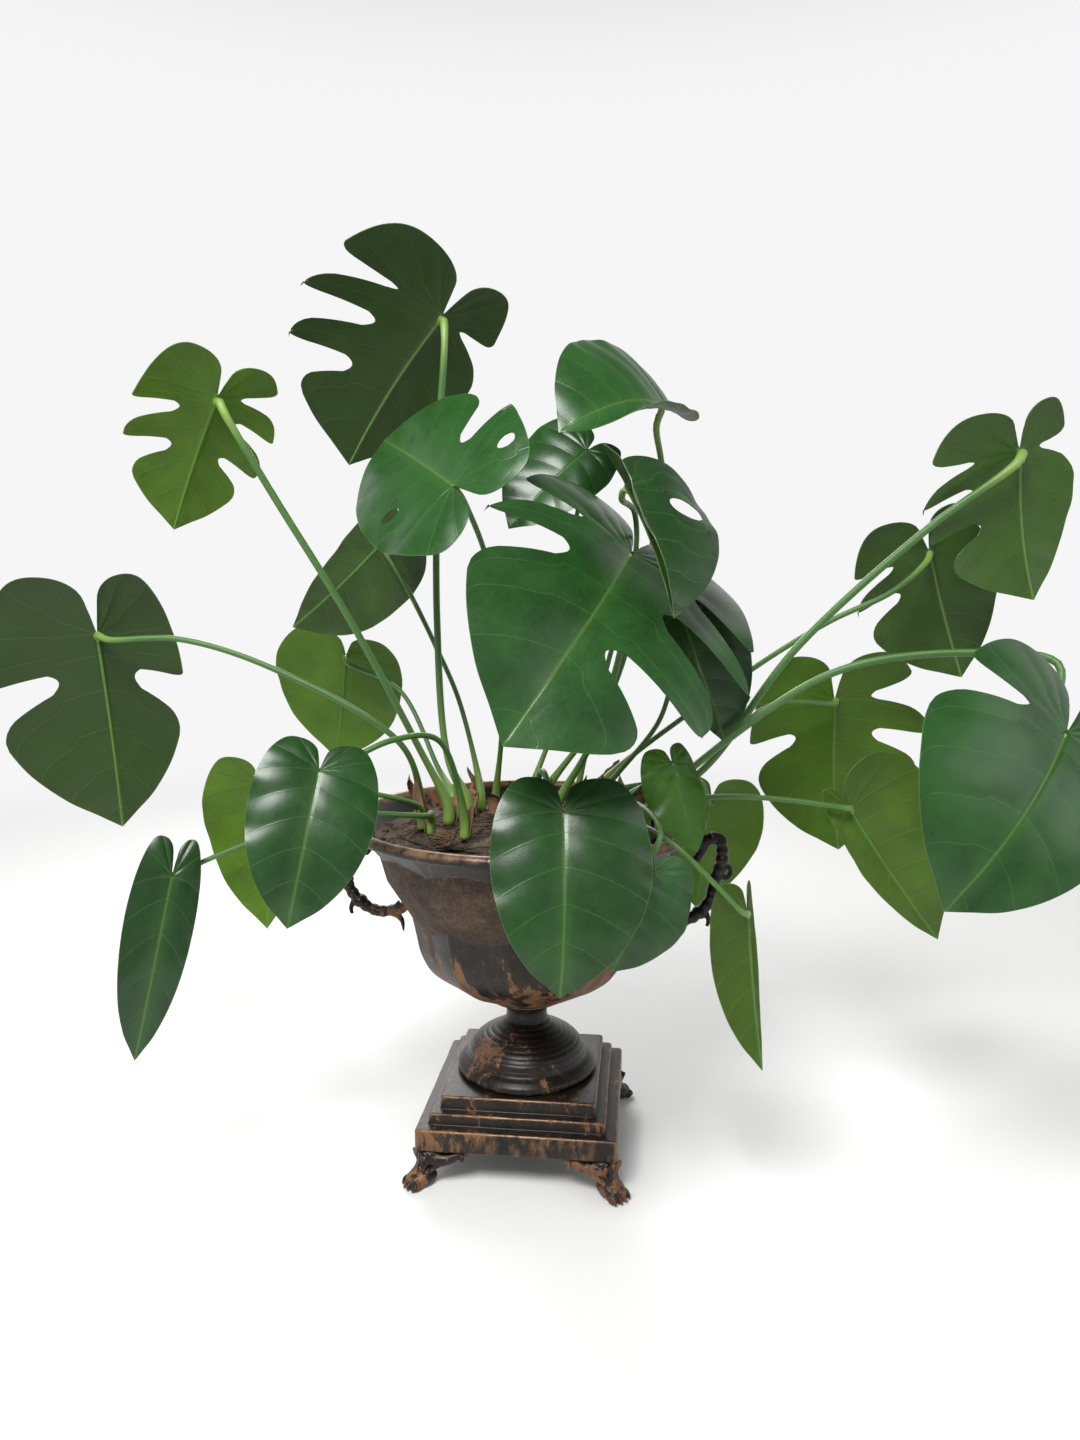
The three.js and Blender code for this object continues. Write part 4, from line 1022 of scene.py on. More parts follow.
class PLANT_OT_bowl(Operator):
    """Cast the bowl: flat panels, a rolled rim and a bead under it"""

    bl_idname = "potted_plant.bowl"
    bl_label = "Urn Bowl"

    def execute(self, context):
        size, finish = context.scene.urn_sizes, context.scene.urn_finish
        base, top = BOWL_LOW.z, BOWL_HIGH.z
        tall = top - base

        def low(share, height):
            return size.collar + share * (size.belly - size.collar), base + height * tall

        def flare(share, height):
            return size.belly + share * (size.rim - size.belly), base + height * tall

        cup = [(size.collar - 0.010, base), (size.collar - 0.003, base + 0.0012), (size.collar, base + 0.005)]
        cup += [(size.collar + 0.001, base + 0.008), (size.collar + 0.0045, base + 0.0105)]
        body = [low(0.3, 0.062), low(0.58, 0.12), low(0.84, 0.2), low(1, 0.31)]
        body += [flare(0.07, 0.42), flare(0.15, 0.54), flare(0.29, 0.67), flare(0.52, 0.81), flare(0.8, 0.93)]
        outside = [tuple(p) for p in spline(cup, 14)] + [tuple(p) for p in spline([cup[-1], *body], 84)[1:]]
        roll = size.rim_roll
        rim_middle = (size.rim - roll, top - roll)
        rolled = []
        for angle in range(-80, 181, 12):
            turn = math.radians(angle)
            rolled.append((rim_middle[0] + roll * math.cos(turn), rim_middle[1] + roll * math.sin(turn)))
        lining = [(r - size.wall, z) for r, z in reversed(body[1:])]
        inside = [tuple(p) for p in spline([(lining[0][0] + 0.004, lining[0][1] + 0.007), *lining], 44)]
        floor = base + BOWL_FLOOR
        profile = [(ROD_HOLE, base), *outside, *rolled, *inside]
        profile += [(size.collar - 0.004, floor), (ROD_HOLE, floor)]
        panel = 2 * math.pi / size.panels

        def press(angle, radius, height):
            share = (height - base) / tall
            if not 0.05 < share < 0.99 or radius < size.collar:
                return 0.0
            rise = min(1.0, max(0.0, (share - 0.062) / 0.035)) * min(1.0, max(0.0, (0.99 - share) / 0.05))
            part = abs(((angle / panel) % 1.0) - 0.5) * 2
            scallop = math.exp(-(((share - 0.085) / 0.03) ** 2)) * 0.0025 * (1 - part * part)
            hollow = math.sqrt(max(0.0, 1 - part * part)) * rise * (1 - 0.55 * part)
            return size.panel_depth * hollow + scallop

        points, faces = lathed(profile, size.panels * PANEL_STEPS, press, len(outside) + 1)
        metal = iron("bowl_iron", finish, 3.1, 0.0, (base + 0.015, base + 0.10), top)
        bowl = make_object("bowl", points, faces, metal)
        carry_wear(bowl.data, 0.0035)
        adopt(bowl, "bowl_iron", "urn_bowl")
        return {"FINISHED"}


class PLANT_OT_pedestal(Operator):
    """Turn the pedestal with its rings, flare and round foot"""

    bl_idname = "potted_plant.pedestal"
    bl_label = "Pedestal"

    def execute(self, context):
        size, finish = context.scene.urn_sizes, context.scene.urn_finish
        base, tall = PEDESTAL_LOW.z, PEDESTAL_HIGH.z - PEDESTAL_LOW.z
        foot = PEDESTAL_HIGH.x
        marks = [
            (0.003, 0.0), (0.0, 0.035), (0.0002, 0.085), (0.005, 0.14), (0.012, 0.19), (0.0145, 0.25),
            (0.0165, 0.31), (0.021, 0.37), (0.028, 0.43), (0.037, 0.485), (0.0465, 0.54), (0.0555, 0.605),
            (0.061, 0.67), (0.0622, 0.75), (0.06, 0.85), (0.0485, 0.94), (0.04, 0.97), (0.04, 1.0),
        ]
        curve = spline([(foot - inset, base + share * tall) for inset, share in marks], 210)
        tangent = np.gradient(curve, axis=0)
        tangent /= np.linalg.norm(tangent, axis=1)[:, None]
        normal = np.stack([tangent[:, 1], -tangent[:, 0]], axis=1)
        share = (curve[:, 1] - base) / tall
        zone = np.clip((share - 0.19) / 0.03, 0, 1) * np.clip((0.74 - share) / 0.10, 0, 1)
        rings = np.abs(np.sin(math.pi * run_along(curve) / RING_PITCH)) ** 0.7 - 0.6
        neck = np.exp(-(((share - 0.865) / 0.02) ** 2)) * 0.0016
        curve = curve + normal * (size.ring_depth * rings * zone + neck)[:, None]
        hollow = [(ROD_HOLE, base + tall), (ROD_HOLE, base + 0.62 * tall)]
        hollow += [(foot - 0.042 - CASTING_WALL, base + 0.42 * tall), (foot - 0.008 - CASTING_WALL, base)]
        points, faces = lathed([*curve, *hollow], 160)
        pedestal = make_object("pedestal", points, faces, iron("pedestal_iron", finish, 7.7, 0.022))
        carry_wear(pedestal.data, 0.0035)
        adopt(pedestal, "base_iron", "urn_pedestal")
        return {"FINISHED"}


class PLANT_OT_plinth(Operator):
    """Cast the square plinth: three stepped tiers with soft edges, open below"""

    bl_idname = "potted_plant.plinth"
    bl_label = "Plinth"

    def execute(self, context):
        size, finish = context.scene.urn_sizes, context.scene.urn_finish
        low, top, half = PLINTH_LOW.z, PLINTH_HIGH.z, PLINTH_HIGH.x
        soft = size.edge_round
        steps = [(half, low + 0.0265), (half - 0.014, low + 0.0405), (half - 0.026, top)]
        profile = [(half - 0.0015, low)]
        profile.append((half, low + 0.0015))
        floor = low
        for i, (reach, height) in enumerate(steps):
            if i:
                for angle in (0, 30, 60, 90):
                    turn = math.radians(angle)
                    cove = 0.6 * soft
                    profile.append((reach + cove * (1 - math.sin(turn)), floor + cove * (1 - math.cos(turn))))
            for angle in (0, 18, 36, 54, 72, 90):
                turn = math.radians(angle)
                profile.append((reach - soft * (1 - math.cos(turn)), height - soft * (1 - math.sin(turn))))
            floor = height
        wall = CASTING_WALL
        profile += [(0.089, top), (0.06, top), (0.03, top), (ROD_HOLE, top)]
        profile += [(ROD_HOLE, top - wall), (0.05, top - wall)]
        for outer, inner in ((2, 1), (1, 0)):
            reach = steps[outer][0] - wall
            profile += [(reach, steps[outer][1] - wall), (reach, steps[inner][1] - wall)]
        profile += [(half - wall, steps[0][1] - wall), (half - wall, low)]
        side_steps = 30
        points = []
        for corner in range(4):
            turn = math.pi / 2 * corner
            for k in range(side_steps + 5):
                for reach, height in profile:
                    bend_radius = min(0.004, 0.5 * reach)
                    straight = reach - bend_radius
                    if k <= side_steps:
                        x, y = reach, straight * (2 * k / side_steps - 1)
                    else:
                        angle = math.radians(90 * (k - side_steps) / 5)
                        x = straight + bend_radius * math.cos(angle)
                        y = straight + bend_radius * math.sin(angle)
                    wobble = 0.0005 * noise.noise(Vector((x * 25, y * 25 + 9 * corner, height * 25)))
                    reach_x = x + (wobble if reach > 0.05 else 0)
                    c, s = math.cos(turn), math.sin(turn)
                    points.append((c * reach_x - s * y, s * reach_x + c * y, height))
        rings = 4 * (side_steps + 5)
        faces = turned_over(grid_faces(rings, len(profile), wrap_rows=True, wrap_columns=True))
        plinth = make_object("plinth", points, faces, iron("plinth_iron", finish, 12.9, -0.022))
        carry_wear(plinth.data, 0.006, 1)
        adopt(plinth, "base_iron", "urn_plinth")
        return {"FINISHED"}


def paw_shapes():
    """Shapes of one paw foot, in metres: x out along the plinth's corner, z up from the floor."""
    shapes = [
        blob((0.012, 0, 0.0095), (0.020, 0.0150, 0.0105)),
        blob((0.001, 0, 0.0085), (0.011, 0.0120, 0.0085)),
        blob((0.006, 0, 0.020), (0.0110, 0.0100, 0.0120), 0, 0.35),
        blob((0.001, 0, 0.031), (0.0125, 0.0125, 0.0120), 0, 0.35),
        blob((-0.004, 0, 0.041), (0.0180, 0.0170, 0.0060)),
    ]
    for place in (-1.5, -0.5, 0.5, 1.5):
        y = 0.0072 * place
        out = 0.0255 - 0.0016 * abs(place) ** 1.5
        shapes.append(blob((out, y, 0.0062), (0.0078, 0.0036, 0.0062), 0.09 * place))
        shapes.append(blob((out - 0.0090, y * 0.9, 0.0135), (0.0078, 0.0034, 0.0050), 0.07 * place, 0.45))
        claw = [(out + 0.004, y, 0.0070), (out + 0.0075, y, 0.0050), (out + 0.0078, y, 0.0012)]
        shapes.append(cast_tube(claw, 0.0022, 0.0010, 8, count=10))
    for side in (-1, 1):
        sweep = [(0.004, 0.004 * side, 0.034), (-0.010, 0.020 * side, 0.033), (-0.022, 0.031 * side, 0.0385)]
        shapes.append(cast_tube([*sweep, (-0.030, 0.037 * side, 0.0415)], 0.0105, 0.0042, 12))
        edge = [(0.010, 0.009 * side, 0.016), (0.001, 0.016 * side, 0.0245), (-0.014, 0.026 * side, 0.0305)]
        shapes.append(cast_tube([*edge, (-0.027, 0.035 * side, 0.0385)], 0.0024, 0.0018, 8, 0.12, 7))
        curl = []
        for k in range(13):
            turn = math.radians(-60 + 40 * k)
            reach = 0.7 * (0.0062 - 0.00038 * k)
            out, up = reach * math.cos(turn), reach * math.sin(turn)
            curl.append((out - 0.026, (0.034 + out) * side, 0.0365 + up))
        shapes.append(cast_tube(curl, 0.0024, 0.0018, 8))
    for y in (-0.0085, -0.0045, 0.0, 0.0045, 0.0085):
        rib = [(0.0215 - abs(y) * 0.5, y * 0.8, 0.0165), (0.0135 - abs(y) * 0.4, y, 0.0260)]
        rib += [(0.0125, y * 1.25, 0.0360), (0.0135, y * 1.4, 0.0415)]
        shapes.append(cast_tube(rib, 0.0019, 0.0023, 8, count=16))
    return shapes


class PLANT_OT_paw_feet(Operator):
    """Model one paw foot with toes, claws and scrolled bracket, and cast it four times"""

    bl_idname = "potted_plant.paw_feet"
    bl_label = "Paw Feet"

    def execute(self, context):
        finish = context.scene.urn_finish
        metal = iron("foot_iron", finish, 21.3, 0.022)
        first = melded("paw_pattern", paw_shapes(), PAW_GRAIN, metal, 3)
        pattern = first.data
        count = len(pattern.vertices)
        rest = np.empty(count * 3)
        pattern.vertices.foreach_get("co", rest)
        rest = rest.reshape(-1, 3)
        rest[:, 2] = np.clip(rest[:, 2], 0.0, PLINTH_LOW.z)
        out = (PLINTH_HIGH.x - PAW_INSET) * math.sqrt(2)
        for corner, place in enumerate(("back_right", "back_left", "front_left", "front_right")):
            turn = math.radians(45 + 90 * corner)
            c, s = math.cos(turn), math.sin(turn)
            x = rest[:, 0] + out
            moved = np.stack([c * x - s * rest[:, 1], s * x + c * rest[:, 1], rest[:, 2]], axis=1)
            mesh = pattern.copy()
            mesh.name = "paw_" + place
            mesh.vertices.foreach_set("co", moved.ravel())
            mesh.update()
            carry_wear(mesh, 0.0016, 3)
            foot = bpy.data.objects.new("paw_" + place, mesh)
            bpy.context.scene.collection.objects.link(foot)
            adopt(foot, "base_iron", "paw_foot_" + place)
        bpy.data.objects.remove(first)
        return {"FINISHED"}


class PLANT_OT_handles(Operator):
    """Cast the two handles as knotted branches with a curled twig and a curl at the bowl"""

    bl_idname = "potted_plant.handles"
    bl_label = "Branch Handles"

    def execute(self, context):
        size, finish = context.scene.urn_sizes, context.scene.urn_finish
        metal = iron("handle_iron", finish, 31.9, 0.02)
        branch = size.branch
        for hand, place in ((-1, "left"), (1, "right")):
            low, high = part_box("handle_" + place)
            outer = (high.x if hand > 0 else -low.x) - 0.008
            inner = low.x if hand > 0 else -high.x
            rim_side = size.belly + 0.8 * (size.rim - size.belly) + 0.012
            under = high.z - 0.008

            def at(x, y, z):
                return hand * x, y, z

            stem = [
                at(rim_side - 0.012, 0, under - 0.009), at(rim_side, 0, under - 0.005),
                at(0.5 * (rim_side + outer) + 0.008, 0, under), at(outer, 0, under - 0.026),
                at(outer - 0.007, 0.001, under - 0.050), at(outer - 0.012, -0.001, under - 0.075),
                at(outer - 0.030, 0, under - 0.098), at(outer - 0.052, 0, under - 0.107),
                at(inner + 0.006, 0, under - 0.103), at(inner - 0.004, 0, under - 0.098),
            ]
            shapes = [cast_tube(stem, branch * 1.02, branch * 0.95, 14, 0.10, 17, 130)]
            knots = ((0.0, 0.026, 1.35), (0.010, 0.066, 1.25), (0.026, 0.094, 1.5), (0.050, 0.107, 1.2))
            for inset, drop, swell in knots:
                reach = swell * branch
                shapes.append(blob(at(outer - inset, 0, under - drop), (reach * 0.9, reach, reach * 0.8)))
            twig = [
                at(outer - 0.002, 0, under - 0.046), at(outer + 0.006, 0.002, under - 0.050),
                at(outer + 0.011, 0.003, under - 0.044), at(outer + 0.009, 0.003, under - 0.036),
                at(outer + 0.004, 0.002, under - 0.038),
            ]
            shapes.append(cast_tube(twig, 0.0040, 0.0024, 10))
            snag = [
                at(outer - 0.020, 0, under - 0.090), at(outer - 0.015, -0.004, under - 0.103),
                at(outer - 0.017, -0.006, under - 0.110),
            ]
            shapes.append(cast_tube(snag, 0.0044, 0.0022, 10))
            tail = [
                at(inner + 0.016, 0, under - 0.106), at(inner + 0.004, 0.002, under - 0.118),
                at(inner + 0.001, 0.002, under - 0.134),
            ]
            shapes.append(cast_tube(tail, 0.0058, 0.0012, 10, 0.08, 6))
            wisp = [
                at(inner + 0.020, 0, under - 0.104), at(inner + 0.010, -0.010, under - 0.098),
                at(inner + 0.002, -0.016, under - 0.088),
            ]
            shapes.append(cast_tube(wisp, 0.0045, 0.0018, 10))
            curl = [
                at(rim_side + 0.004, 0, under - 0.006), at(rim_side - 0.002, 0, under - 0.020),
                at(rim_side - 0.010, 0, under - 0.030), at(rim_side - 0.016, 0, under - 0.024),
            ]
            shapes.append(cast_tube(curl, 0.0062, 0.0040, 10))
            handle = melded("branch_handle_" + place, shapes, HANDLE_GRAIN, metal, 2)
            carry_wear(handle.data, 0.0016, 3)
            adopt(handle, "handle_iron", "handle_" + place)
        return {"FINISHED"}


class PLANT_OT_tie_rod(Operator):
    """Cut the tie rod with its thread and a six-sided nut at each end"""

    bl_idname = "potted_plant.tie_rod"
    bl_label = "Tie Rod"

    def execute(self, context):
        radius, thread_rings, thread_depth = 0.0058, 240, 0.05
        nut_reach, nut_tall, bevel, rod_end = 0.014, 0.010, 0.001, 0.004
        low, high = ROD_LOW.z, ROD_HIGH.z
        path = np.zeros((thread_rings, 3))
        path[:, 2] = np.linspace(low, high, thread_rings)
        radii = radius * (1 - thread_depth * (np.arange(thread_rings) % 2))
        points, faces = [], []
        add_shape(points, faces, *swept(path, radii, 20)[:2])
        for base in (low + rod_end, high - rod_end - nut_tall):
            nut = []
            levels = ((0.0, 1.5 * bevel), (bevel, 0.0), (nut_tall - bevel, 0.0), (nut_tall, 1.5 * bevel))
            for height, inset in levels:
                nut += ring(nut_reach - inset, nut_reach - inset, base + height, 6)
            sides = grid_faces(4, 6, wrap_columns=True)
            add_shape(points, faces, nut, [*sides, (5, 4, 3, 2, 1, 0), (18, 19, 20, 21, 22, 23)])
        rod = make_object("rod_and_nuts", points, faces, steel(context.scene.urn_finish), smooth=False)
        adopt(rod, "steel", "tie_rod")
        return {"FINISHED"}


def mound(centre_z, reach_x, reach_y, rings, around, height, skirt):
    """Closed low mound: a top at height(x, y, share) and a skirt that goes down to a flat bottom."""
    points = [(0.0, 0.0, centre_z + height(0, 0, 0))]
    for i in range(1, rings + 1):
        share = i / rings
        for x, y, _ in ring(reach_x * share, reach_y * share, 0.0, around):
            points.append((x, y, centre_z + height(x, y, share)))
    for narrow, drop in skirt:
        points += ring(reach_x * narrow, reach_y * narrow, centre_z - drop, around)
    total = rings + len(skirt)
    points.append((0.0, 0.0, centre_z - skirt[-1][1]))
    faces = disc_faces(total, around)
    last = 1 + (total - 1) * around
    faces += [(last + j, len(points) - 1, last + (j + 1) % around) for j in range(around)]
    return points, faces


class PLANT_OT_soil(Operator):
    """Fill the bowl with potting mix, with bark crumbs lying on it"""

    bl_idname = "potted_plant.soil"
    bl_label = "Soil"

    def execute(self, context):
        size, colours = context.scene.plant_sizes, context.scene.plant_colours
        top, reach = SOIL_HIGH.z, SOIL_HIGH.x - 0.0005

        def bumps(x, y, share):
            coarse = noise.fractal(Vector((x * 30, y * 30, 2.0)), 1.0, 2.0, 4)
            fine = noise.noise(Vector((x * 170, y * 170, 5.0)))
            return -0.002 + 0.0026 * coarse + 0.0012 * fine + 0.002 * share**6

        skirt = [(0.99, 0.008), (0.93, 0.05), (0.70, 0.12), (0.3, 0.16)]
        points, faces = mound(top, reach, reach, 70, 220, bumps, skirt)
        chance = random.Random(11)
        for _ in range(size.crumbs):
            turn, far = chance.uniform(0, 2 * math.pi), math.sqrt(chance.uniform(0.02, 0.93)) * reach
            x, y = far * math.cos(turn), far * math.sin(turn)
            grain = chance.uniform(0.0016, 0.0048)
            shape = (grain * chance.uniform(0.8, 1.6), grain, grain * chance.uniform(0.4, 0.8))
            middle = (x, y, top + bumps(x, y, far / reach) + 0.2 * grain)
            crumb, crumb_faces = blob(middle, shape, turn * 3, chance.uniform(-0.5, 0.5), 1)
            rough = [p + 0.0006 * noise.noise_vector(p * 300) for p in crumb]
            add_shape(points, faces, rough, crumb_faces)
        earth = earth_surface("soil", colours.soil, colours.coir, 0.35)
        soil = make_object("potting_mix", points, faces, earth)
        adopt(soil, "soil", "soil")
        return {"FINISHED"}


class PLANT_OT_crown(Operator):
    """Grow the creeping crown with its roots, the dry husks round the stalks and a tuft of coir"""

    bl_idname = "potted_plant.crown"
    bl_label = "Crown and Husks"

    def execute(self, context):
        size, colours = context.scene.plant_sizes, context.scene.plant_colours
        base, top = CROWN_LOW.z, CROWN_HIGH.z
        reach_x, reach_y = CROWN_HIGH.x, CROWN_HIGH.y
        tall = top - base

        def lumps(x, y, share):
            lump = noise.fractal(Vector((x * 26, y * 26, 8.0)), 1.0, 2.0, 4)
            knob = noise.noise(Vector((x * 75, y * 75, 3.0)))
            dome = 0.62 * (1 - share**3)
            return tall * (dome + 0.30 * lump * (1 - share**4) + 0.12 * knob * (1 - share**2))

        points, faces = mound(base, reach_x, reach_y, 60, 200, lumps, [(1.0, 0.001), (0.97, 0.003)])
        chance = random.Random(5)
        for _ in range(size.roots):
            turn = chance.uniform(0, 2 * math.pi)
            x = reach_x * 0.8 * math.cos(turn) * chance.random()
            y = reach_y * 0.8 * math.sin(turn) * chance.random()
            way, heading = [], turn + chance.uniform(-0.8, 0.8)
            for _ in range(9):
                share = min(1.0, math.hypot(x / reach_x, y / reach_y))
                way.append((x, y, base + lumps(x, y, share) + chance.uniform(0.0, 0.003)))
                heading += chance.uniform(-0.7, 0.7)
                x, y = x + 0.009 * math.cos(heading), y + 0.009 * math.sin(heading)
                if math.hypot(x / reach_x, y / reach_y) > 0.97:
                    heading += 2.2
            thick = chance.uniform(0.0005, 0.0016)
            radii = np.linspace(thick, 0.4 * thick, 26)
            add_shape(points, faces, *swept(spline(way, 26), radii, 6)[:2])
        earth = earth_surface("crown", shade(colours.soil, 0.8), colours.coir, 0.45)
        crown = make_object("crown_and_roots", points, faces, earth)
        adopt(crown, "crown", "crown")
        self.tuft(colours)
        self.husks(size, colours)
        return {"FINISHED"}

    def tuft(self, colours):
        chance = random.Random(23)
        points, faces = [], []
        middle = placed([(-92, -112, CROWN_TOP - LIFT - 3)])[0]
        for _ in range(64):
            tilt = Matrix.Rotation(chance.uniform(0, 6.3), 3, "Z")
            tilt = tilt @ Matrix.Rotation(chance.uniform(-0.9, 0.9), 3, "X")
            reach, start = chance.uniform(0.005, 0.014), chance.uniform(0, 6.3)
            sweep = chance.uniform(2.5, 5.5)
            shift = [chance.uniform(low, 0.006) for low in (-0.006, -0.006, -0.002)]
            centre = Vector(middle) + Vector(shift)
            way = []
            for k in range(12):
                turn = start + sweep * k / 11
                arm = Vector((reach * math.cos(turn), reach * math.sin(turn), 0))
                way.append(tuple(centre + tilt @ arm))
            radii = np.full(24, chance.uniform(0.00035, 0.0007))
            add_shape(points, faces, *swept(spline(way, 24), radii, 5)[:2])
        earth = earth_surface("coir", shade(colours.coir, 0.5), colours.coir, 0.9)
        tuft = make_object("coir_tuft", points, faces, earth)
        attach(tuft, "root")

    def husks(self, size, colours):
        chance = random.Random(41)
        points, faces, carried = [], [], []
        leaves = [leaf_of(own) for own in LEAVES.values()]
        for n in range(size.husks):
            leaf = leaves[(n * 5) % len(leaves)]
            path = stalk_path(leaf)
            tall, around = chance.uniform(28, 68), chance.uniform(0.8, 1.5)
            facing = chance.uniform(0, 2 * math.pi)
            foot = leaf["stalk"] * 1.75 + 1.0
            rows, columns = 16, 9
            sheets = []
            for shell in (0.0, 0.45):
                for i in range(rows):
                    share = i / (rows - 1)
                    along = share * tall
                    here = path[min(len(path) - 1, int(round(along / 8)))]
                    bow = foot * (1 + 0.25 * share + 0.9 * share**3) + shell
                    for j in range(columns):
                        v = 2 * j / (columns - 1) - 1
                        turn = facing + v * around * (1 - share**2.2) + 0.25 * math.sin(5 * share + n)
                        crinkle = 0.5 * math.sin(11 * v + 7 * share + n)
                        x = here[0] + (bow + crinkle) * math.cos(turn)
                        y = here[1] + (bow + crinkle) * math.sin(turn)
                        sheets.append((x, y, CROWN_TOP - LIFT - 5 + along * (1 - 0.10 * v * v)))
                        carried.append((share, 0.5 + 0.5 * v, n % 7))
            grid = rows * columns
            front = grid_faces(rows, columns)
            skin = turned_over(front) + [tuple(grid + i for i in face) for face in front]
            rim = [*range(columns), *(i * columns + columns - 1 for i in range(1, rows))]
            rim += [(rows - 1) * columns + j for j in range(columns - 2, -1, -1)]
            rim += [i * columns for i in range(rows - 2, 0, -1)]
            skin += [(a, b, grid + b, grid + a) for a, b in zip(rim, rim[1:] + rim[:1])]
            add_shape(points, faces, sheets, skin)
        husks = make_object("stalk_husks", placed(points), faces, husk_surface(colours))
        carry(husks.data, "stalk", np.array(carried))
        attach(husks, "root")


class PLANT_OT_blades(Operator):
    """Grow the split and heart-shaped blades"""

    bl_idname = "potted_plant.blades"
    bl_label = "Leaf Blades"

    def execute(self, context):
        sizes, colours = context.scene.plant_sizes, context.scene.plant_colours
        plain_leaf = leaf_surface("plain_leaf_skin", colours.upper, colours.under, colours, 0.31, 0.11)
        # The pale leaves take painted backlight: paler, yellower colours that stand for light shining through
        # them from behind.
        backlit_leaf = leaf_surface("painted_backlit_leaf", colours.pale_upper, colours.pale_under, colours, 0.34, 0.30)
        for order, (number, own) in enumerate(LEAVES.items()):
            leaf = leaf_of(own)
            points, faces, veins, blade, rim, count = blade_points(leaf, sizes)
            made = make_object("blade_" + number, points, faces, backlit_leaf if leaf["pale"] else plain_leaf)
            carry(made.data, "veins", veins)
            carry(made.data, "blade", blade)
            carry(made.data, "tone", np.full(len(points), (order * 0.37 + 0.21) % 1.0))
            around = {frozenset(pair) for pair in rim} | {frozenset((a + count, b + count)) for a, b in rim}
            sharp = [frozenset(edge.vertices) in around for edge in made.data.edges]
            made.data.attributes.new("sharp_edge", "BOOLEAN", "EDGE").data.foreach_set("value", sharp)
            adopt(made, "leaf_pale" if leaf["pale"] else "leaf_green", "leaf_blade_" + number)
        return {"FINISHED"}


class PLANT_OT_stalks(Operator):
    """Grow the leaf stalks, swollen at the sheath and the knee"""

    bl_idname = "potted_plant.stalks"
    bl_label = "Leaf Stalks"

    def execute(self, context):
        sizes, colours = context.scene.plant_sizes, context.scene.plant_colours
        skin = stalk_surface(colours)
        for order, (number, own) in enumerate(LEAVES.items()):
            leaf = leaf_of(own)
            path = stalk_path(leaf)
            run = run_along(path)
            left = run[-1] - run
            sheath = np.exp(-((run / 52.0) ** 2))
            knee = np.exp(-(((left - 20.0) / 17.0) ** 2))
            radii = leaf["stalk"] * (0.86 + sizes.swell * sheath + 0.16 * knee)
            radii *= np.clip(0.35 + left / 9.0, 0.35, 1.0) * (1 - 0.08 * run / run[-1])

            def section(angle, share):
                groove = 0.16 * math.exp(-(((angle - 1.4) / 0.5) ** 2)) * min(1.0, (1 - share) * 8)
                flat = 0.15 * math.cos(2 * angle) * math.exp(-((share / 0.16) ** 2))
                return 1 - groove + flat

            points, faces, carried = swept(path, radii, 16, section)
            made = make_object("stalk_" + number, placed(points), faces, skin)
            carry(made.data, "stalk", carried)
            carry(made.data, "tone", np.full(len(points), (order * 0.29 + 0.4) % 1.0))
            adopt(made, "stalk_green", "leaf_stalk_" + number)
        return {"FINISHED"}


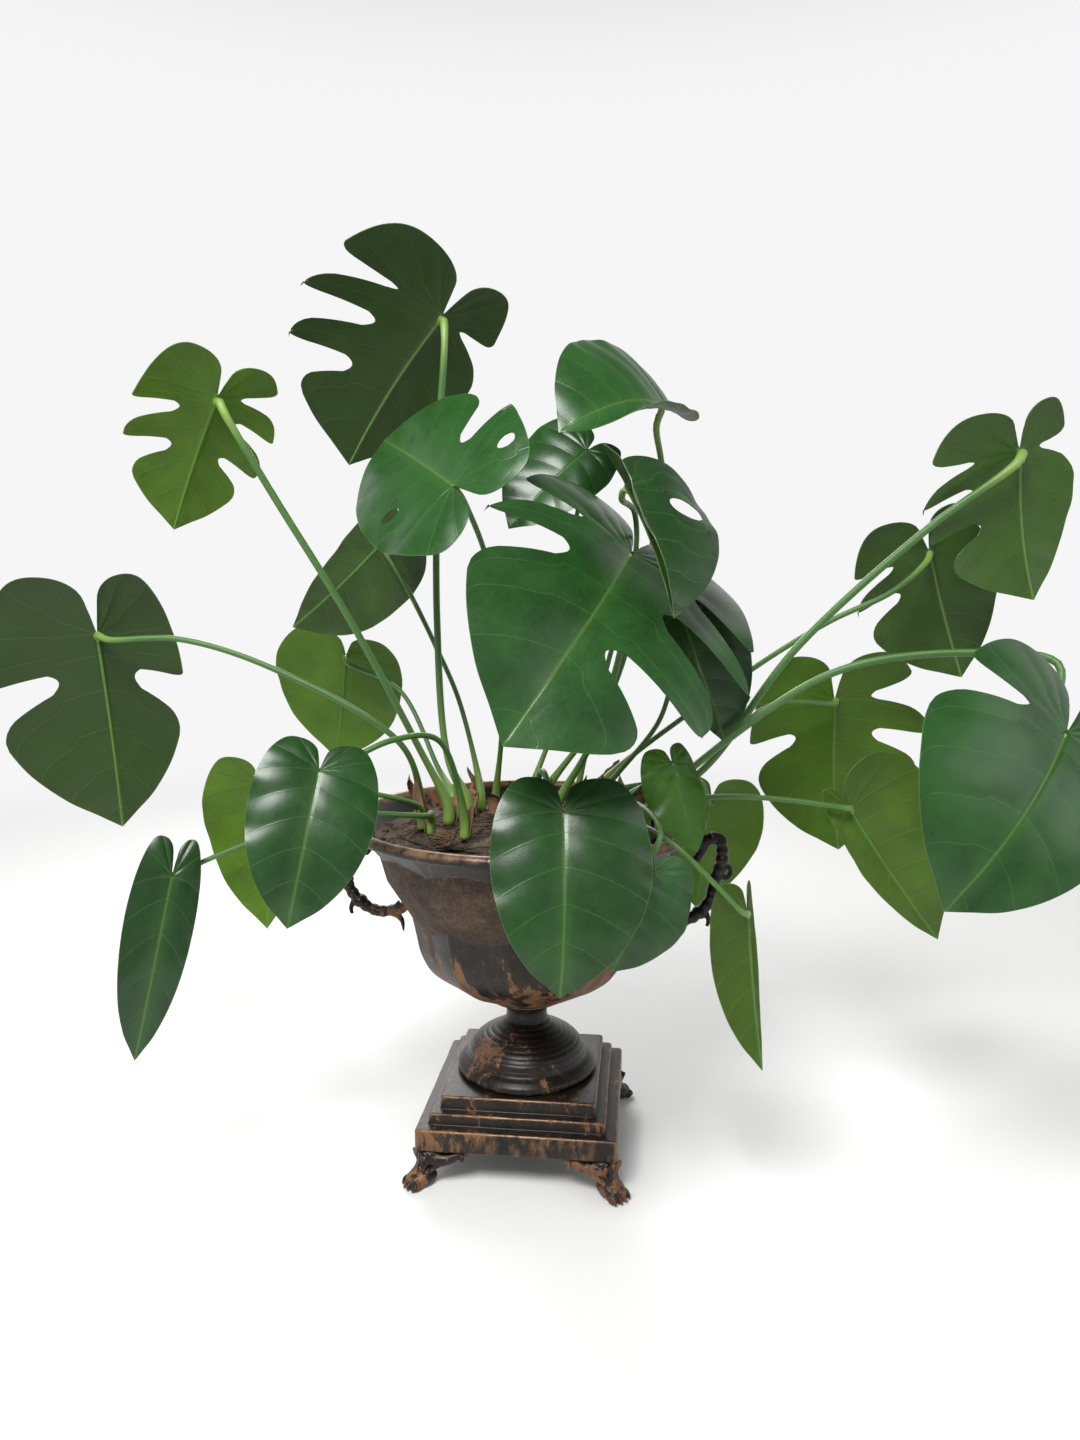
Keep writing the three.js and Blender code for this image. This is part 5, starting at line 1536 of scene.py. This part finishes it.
class PLANT_OT_stage(Operator):
    """Lay the pale floor, hang the soft lamps and set the camera"""

    bl_idname = "potted_plant.stage"
    bl_label = "Stage"

    def execute(self, context):
        scene, setup = context.scene, context.scene.stage_setup
        reaches, around = (0.5, 1.5, 4.0, 12.0, 40.0), 64
        points = [(0.0, 0.0, 0.0)]
        for reach in reaches:
            points += ring(reach, reach, 0.0, around)
        floor = make_object("floor", points, disc_faces(len(reaches), around), floor_surface(setup.floor))
        world = bpy.data.worlds.new("surround")
        f = Finish("surround", world)
        way = f.node("TexCoord", {}, {}, "Generated")
        overhead = f.step(f.height(way), 0.42, 0.75)
        facing = 1.0 - f.step(f.node("SeparateXYZ", {}, {0: way}, "Y"), -0.65, 0.15)
        tint = f.mix(facing, setup.sky, shade(setup.sky, setup.front))
        tint = f.mix(overhead, tint, shade(setup.sky, setup.ceiling))
        sky = f.node("Background", {}, {"Color": tint, "Strength": setup.sky_strength})
        f.node("OutputWorld", {}, {"Surface": sky})
        scene.world = world
        scene.view_settings.view_transform = "Standard"
        aim = Vector((0.0, 0.0, 0.6))
        lamps = (
            ("key_lamp", (-0.4, -1.7, 2.4), 1.1, setup.key),
            ("fill_lamp", (2.2, -1.2, 1.3), 1.4, setup.fill),
            ("back_lamp", (-0.7, 1.9, 1.9), 1.6, setup.back),
        )
        for name, place, size, power in lamps:
            lamp = bpy.data.lights.new(name, "AREA")
            lamp.shape = "DISK"
            lamp.size = size
            lamp.energy = power
            holder = bpy.data.objects.new(name, lamp)
            holder.location = place
            holder.rotation_euler = (aim - Vector(place)).to_track_quat("-Z", "Y").to_euler()
            scene.collection.objects.link(holder)
        camera = bpy.data.cameras.new("camera")
        camera.sensor_width = 36.0
        camera.lens = setup.lens
        holder = bpy.data.objects.new("camera", camera)
        holder.location = Matrix.Rotation(PLANT_TURN, 3, "Z") @ Vector(CAMERA_PLACE)
        holder.rotation_euler = (CAMERA_TILT, 0.0, PLANT_TURN)
        scene.collection.objects.link(holder)
        scene.camera = holder
        return {"FINISHED"}


PIECES = (
    PLANT_OT_stage,
    PLANT_OT_bowl,
    PLANT_OT_pedestal,
    PLANT_OT_plinth,
    PLANT_OT_paw_feet,
    PLANT_OT_handles,
    PLANT_OT_tie_rod,
    PLANT_OT_soil,
    PLANT_OT_crown,
    PLANT_OT_stalks,
    PLANT_OT_blades,
)
SETTINGS = (
    ("urn_sizes", UrnSizes),
    ("urn_finish", UrnFinish),
    ("plant_sizes", PlantSizes),
    ("plant_colours", PlantColours),
    ("stage_setup", StageSetup),
)


class PLANT_PT_sidebar(Panel):
    """Lists the pieces and their settings"""

    bl_label = "Potted Plant"
    bl_idname = "PLANT_PT_sidebar"
    bl_space_type = "VIEW_3D"
    bl_region_type = "UI"
    bl_category = "Potted Plant"

    def draw(self, context):
        column = self.layout.column(align=True)
        for piece in PIECES:
            column.operator(piece.bl_idname)
        for name, group in SETTINGS:
            box = self.layout.box()
            box.label(text=name.replace("_", " ").capitalize())
            for key in group.__annotations__:
                box.prop(getattr(context.scene, name), key)


def register():
    for _, group in SETTINGS:
        bpy.utils.register_class(group)
    for piece in (*PIECES, PLANT_PT_sidebar):
        bpy.utils.register_class(piece)
    for name, group in SETTINGS:
        setattr(bpy.types.Scene, name, PointerProperty(type=group))


def unregister():
    for name, _ in SETTINGS:
        delattr(bpy.types.Scene, name)
    for piece in (PLANT_PT_sidebar, *reversed(PIECES)):
        bpy.utils.unregister_class(piece)
    for _, group in reversed(SETTINGS):
        bpy.utils.unregister_class(group)


def main():
    register()
    for piece in PIECES:
        category, name = piece.bl_idname.split(".")
        result = getattr(getattr(bpy.ops, category), name)()
        if result != {"FINISHED"}:
            raise RuntimeError(piece.bl_label + " did not finish")


if __name__ == "__main__":
    main()
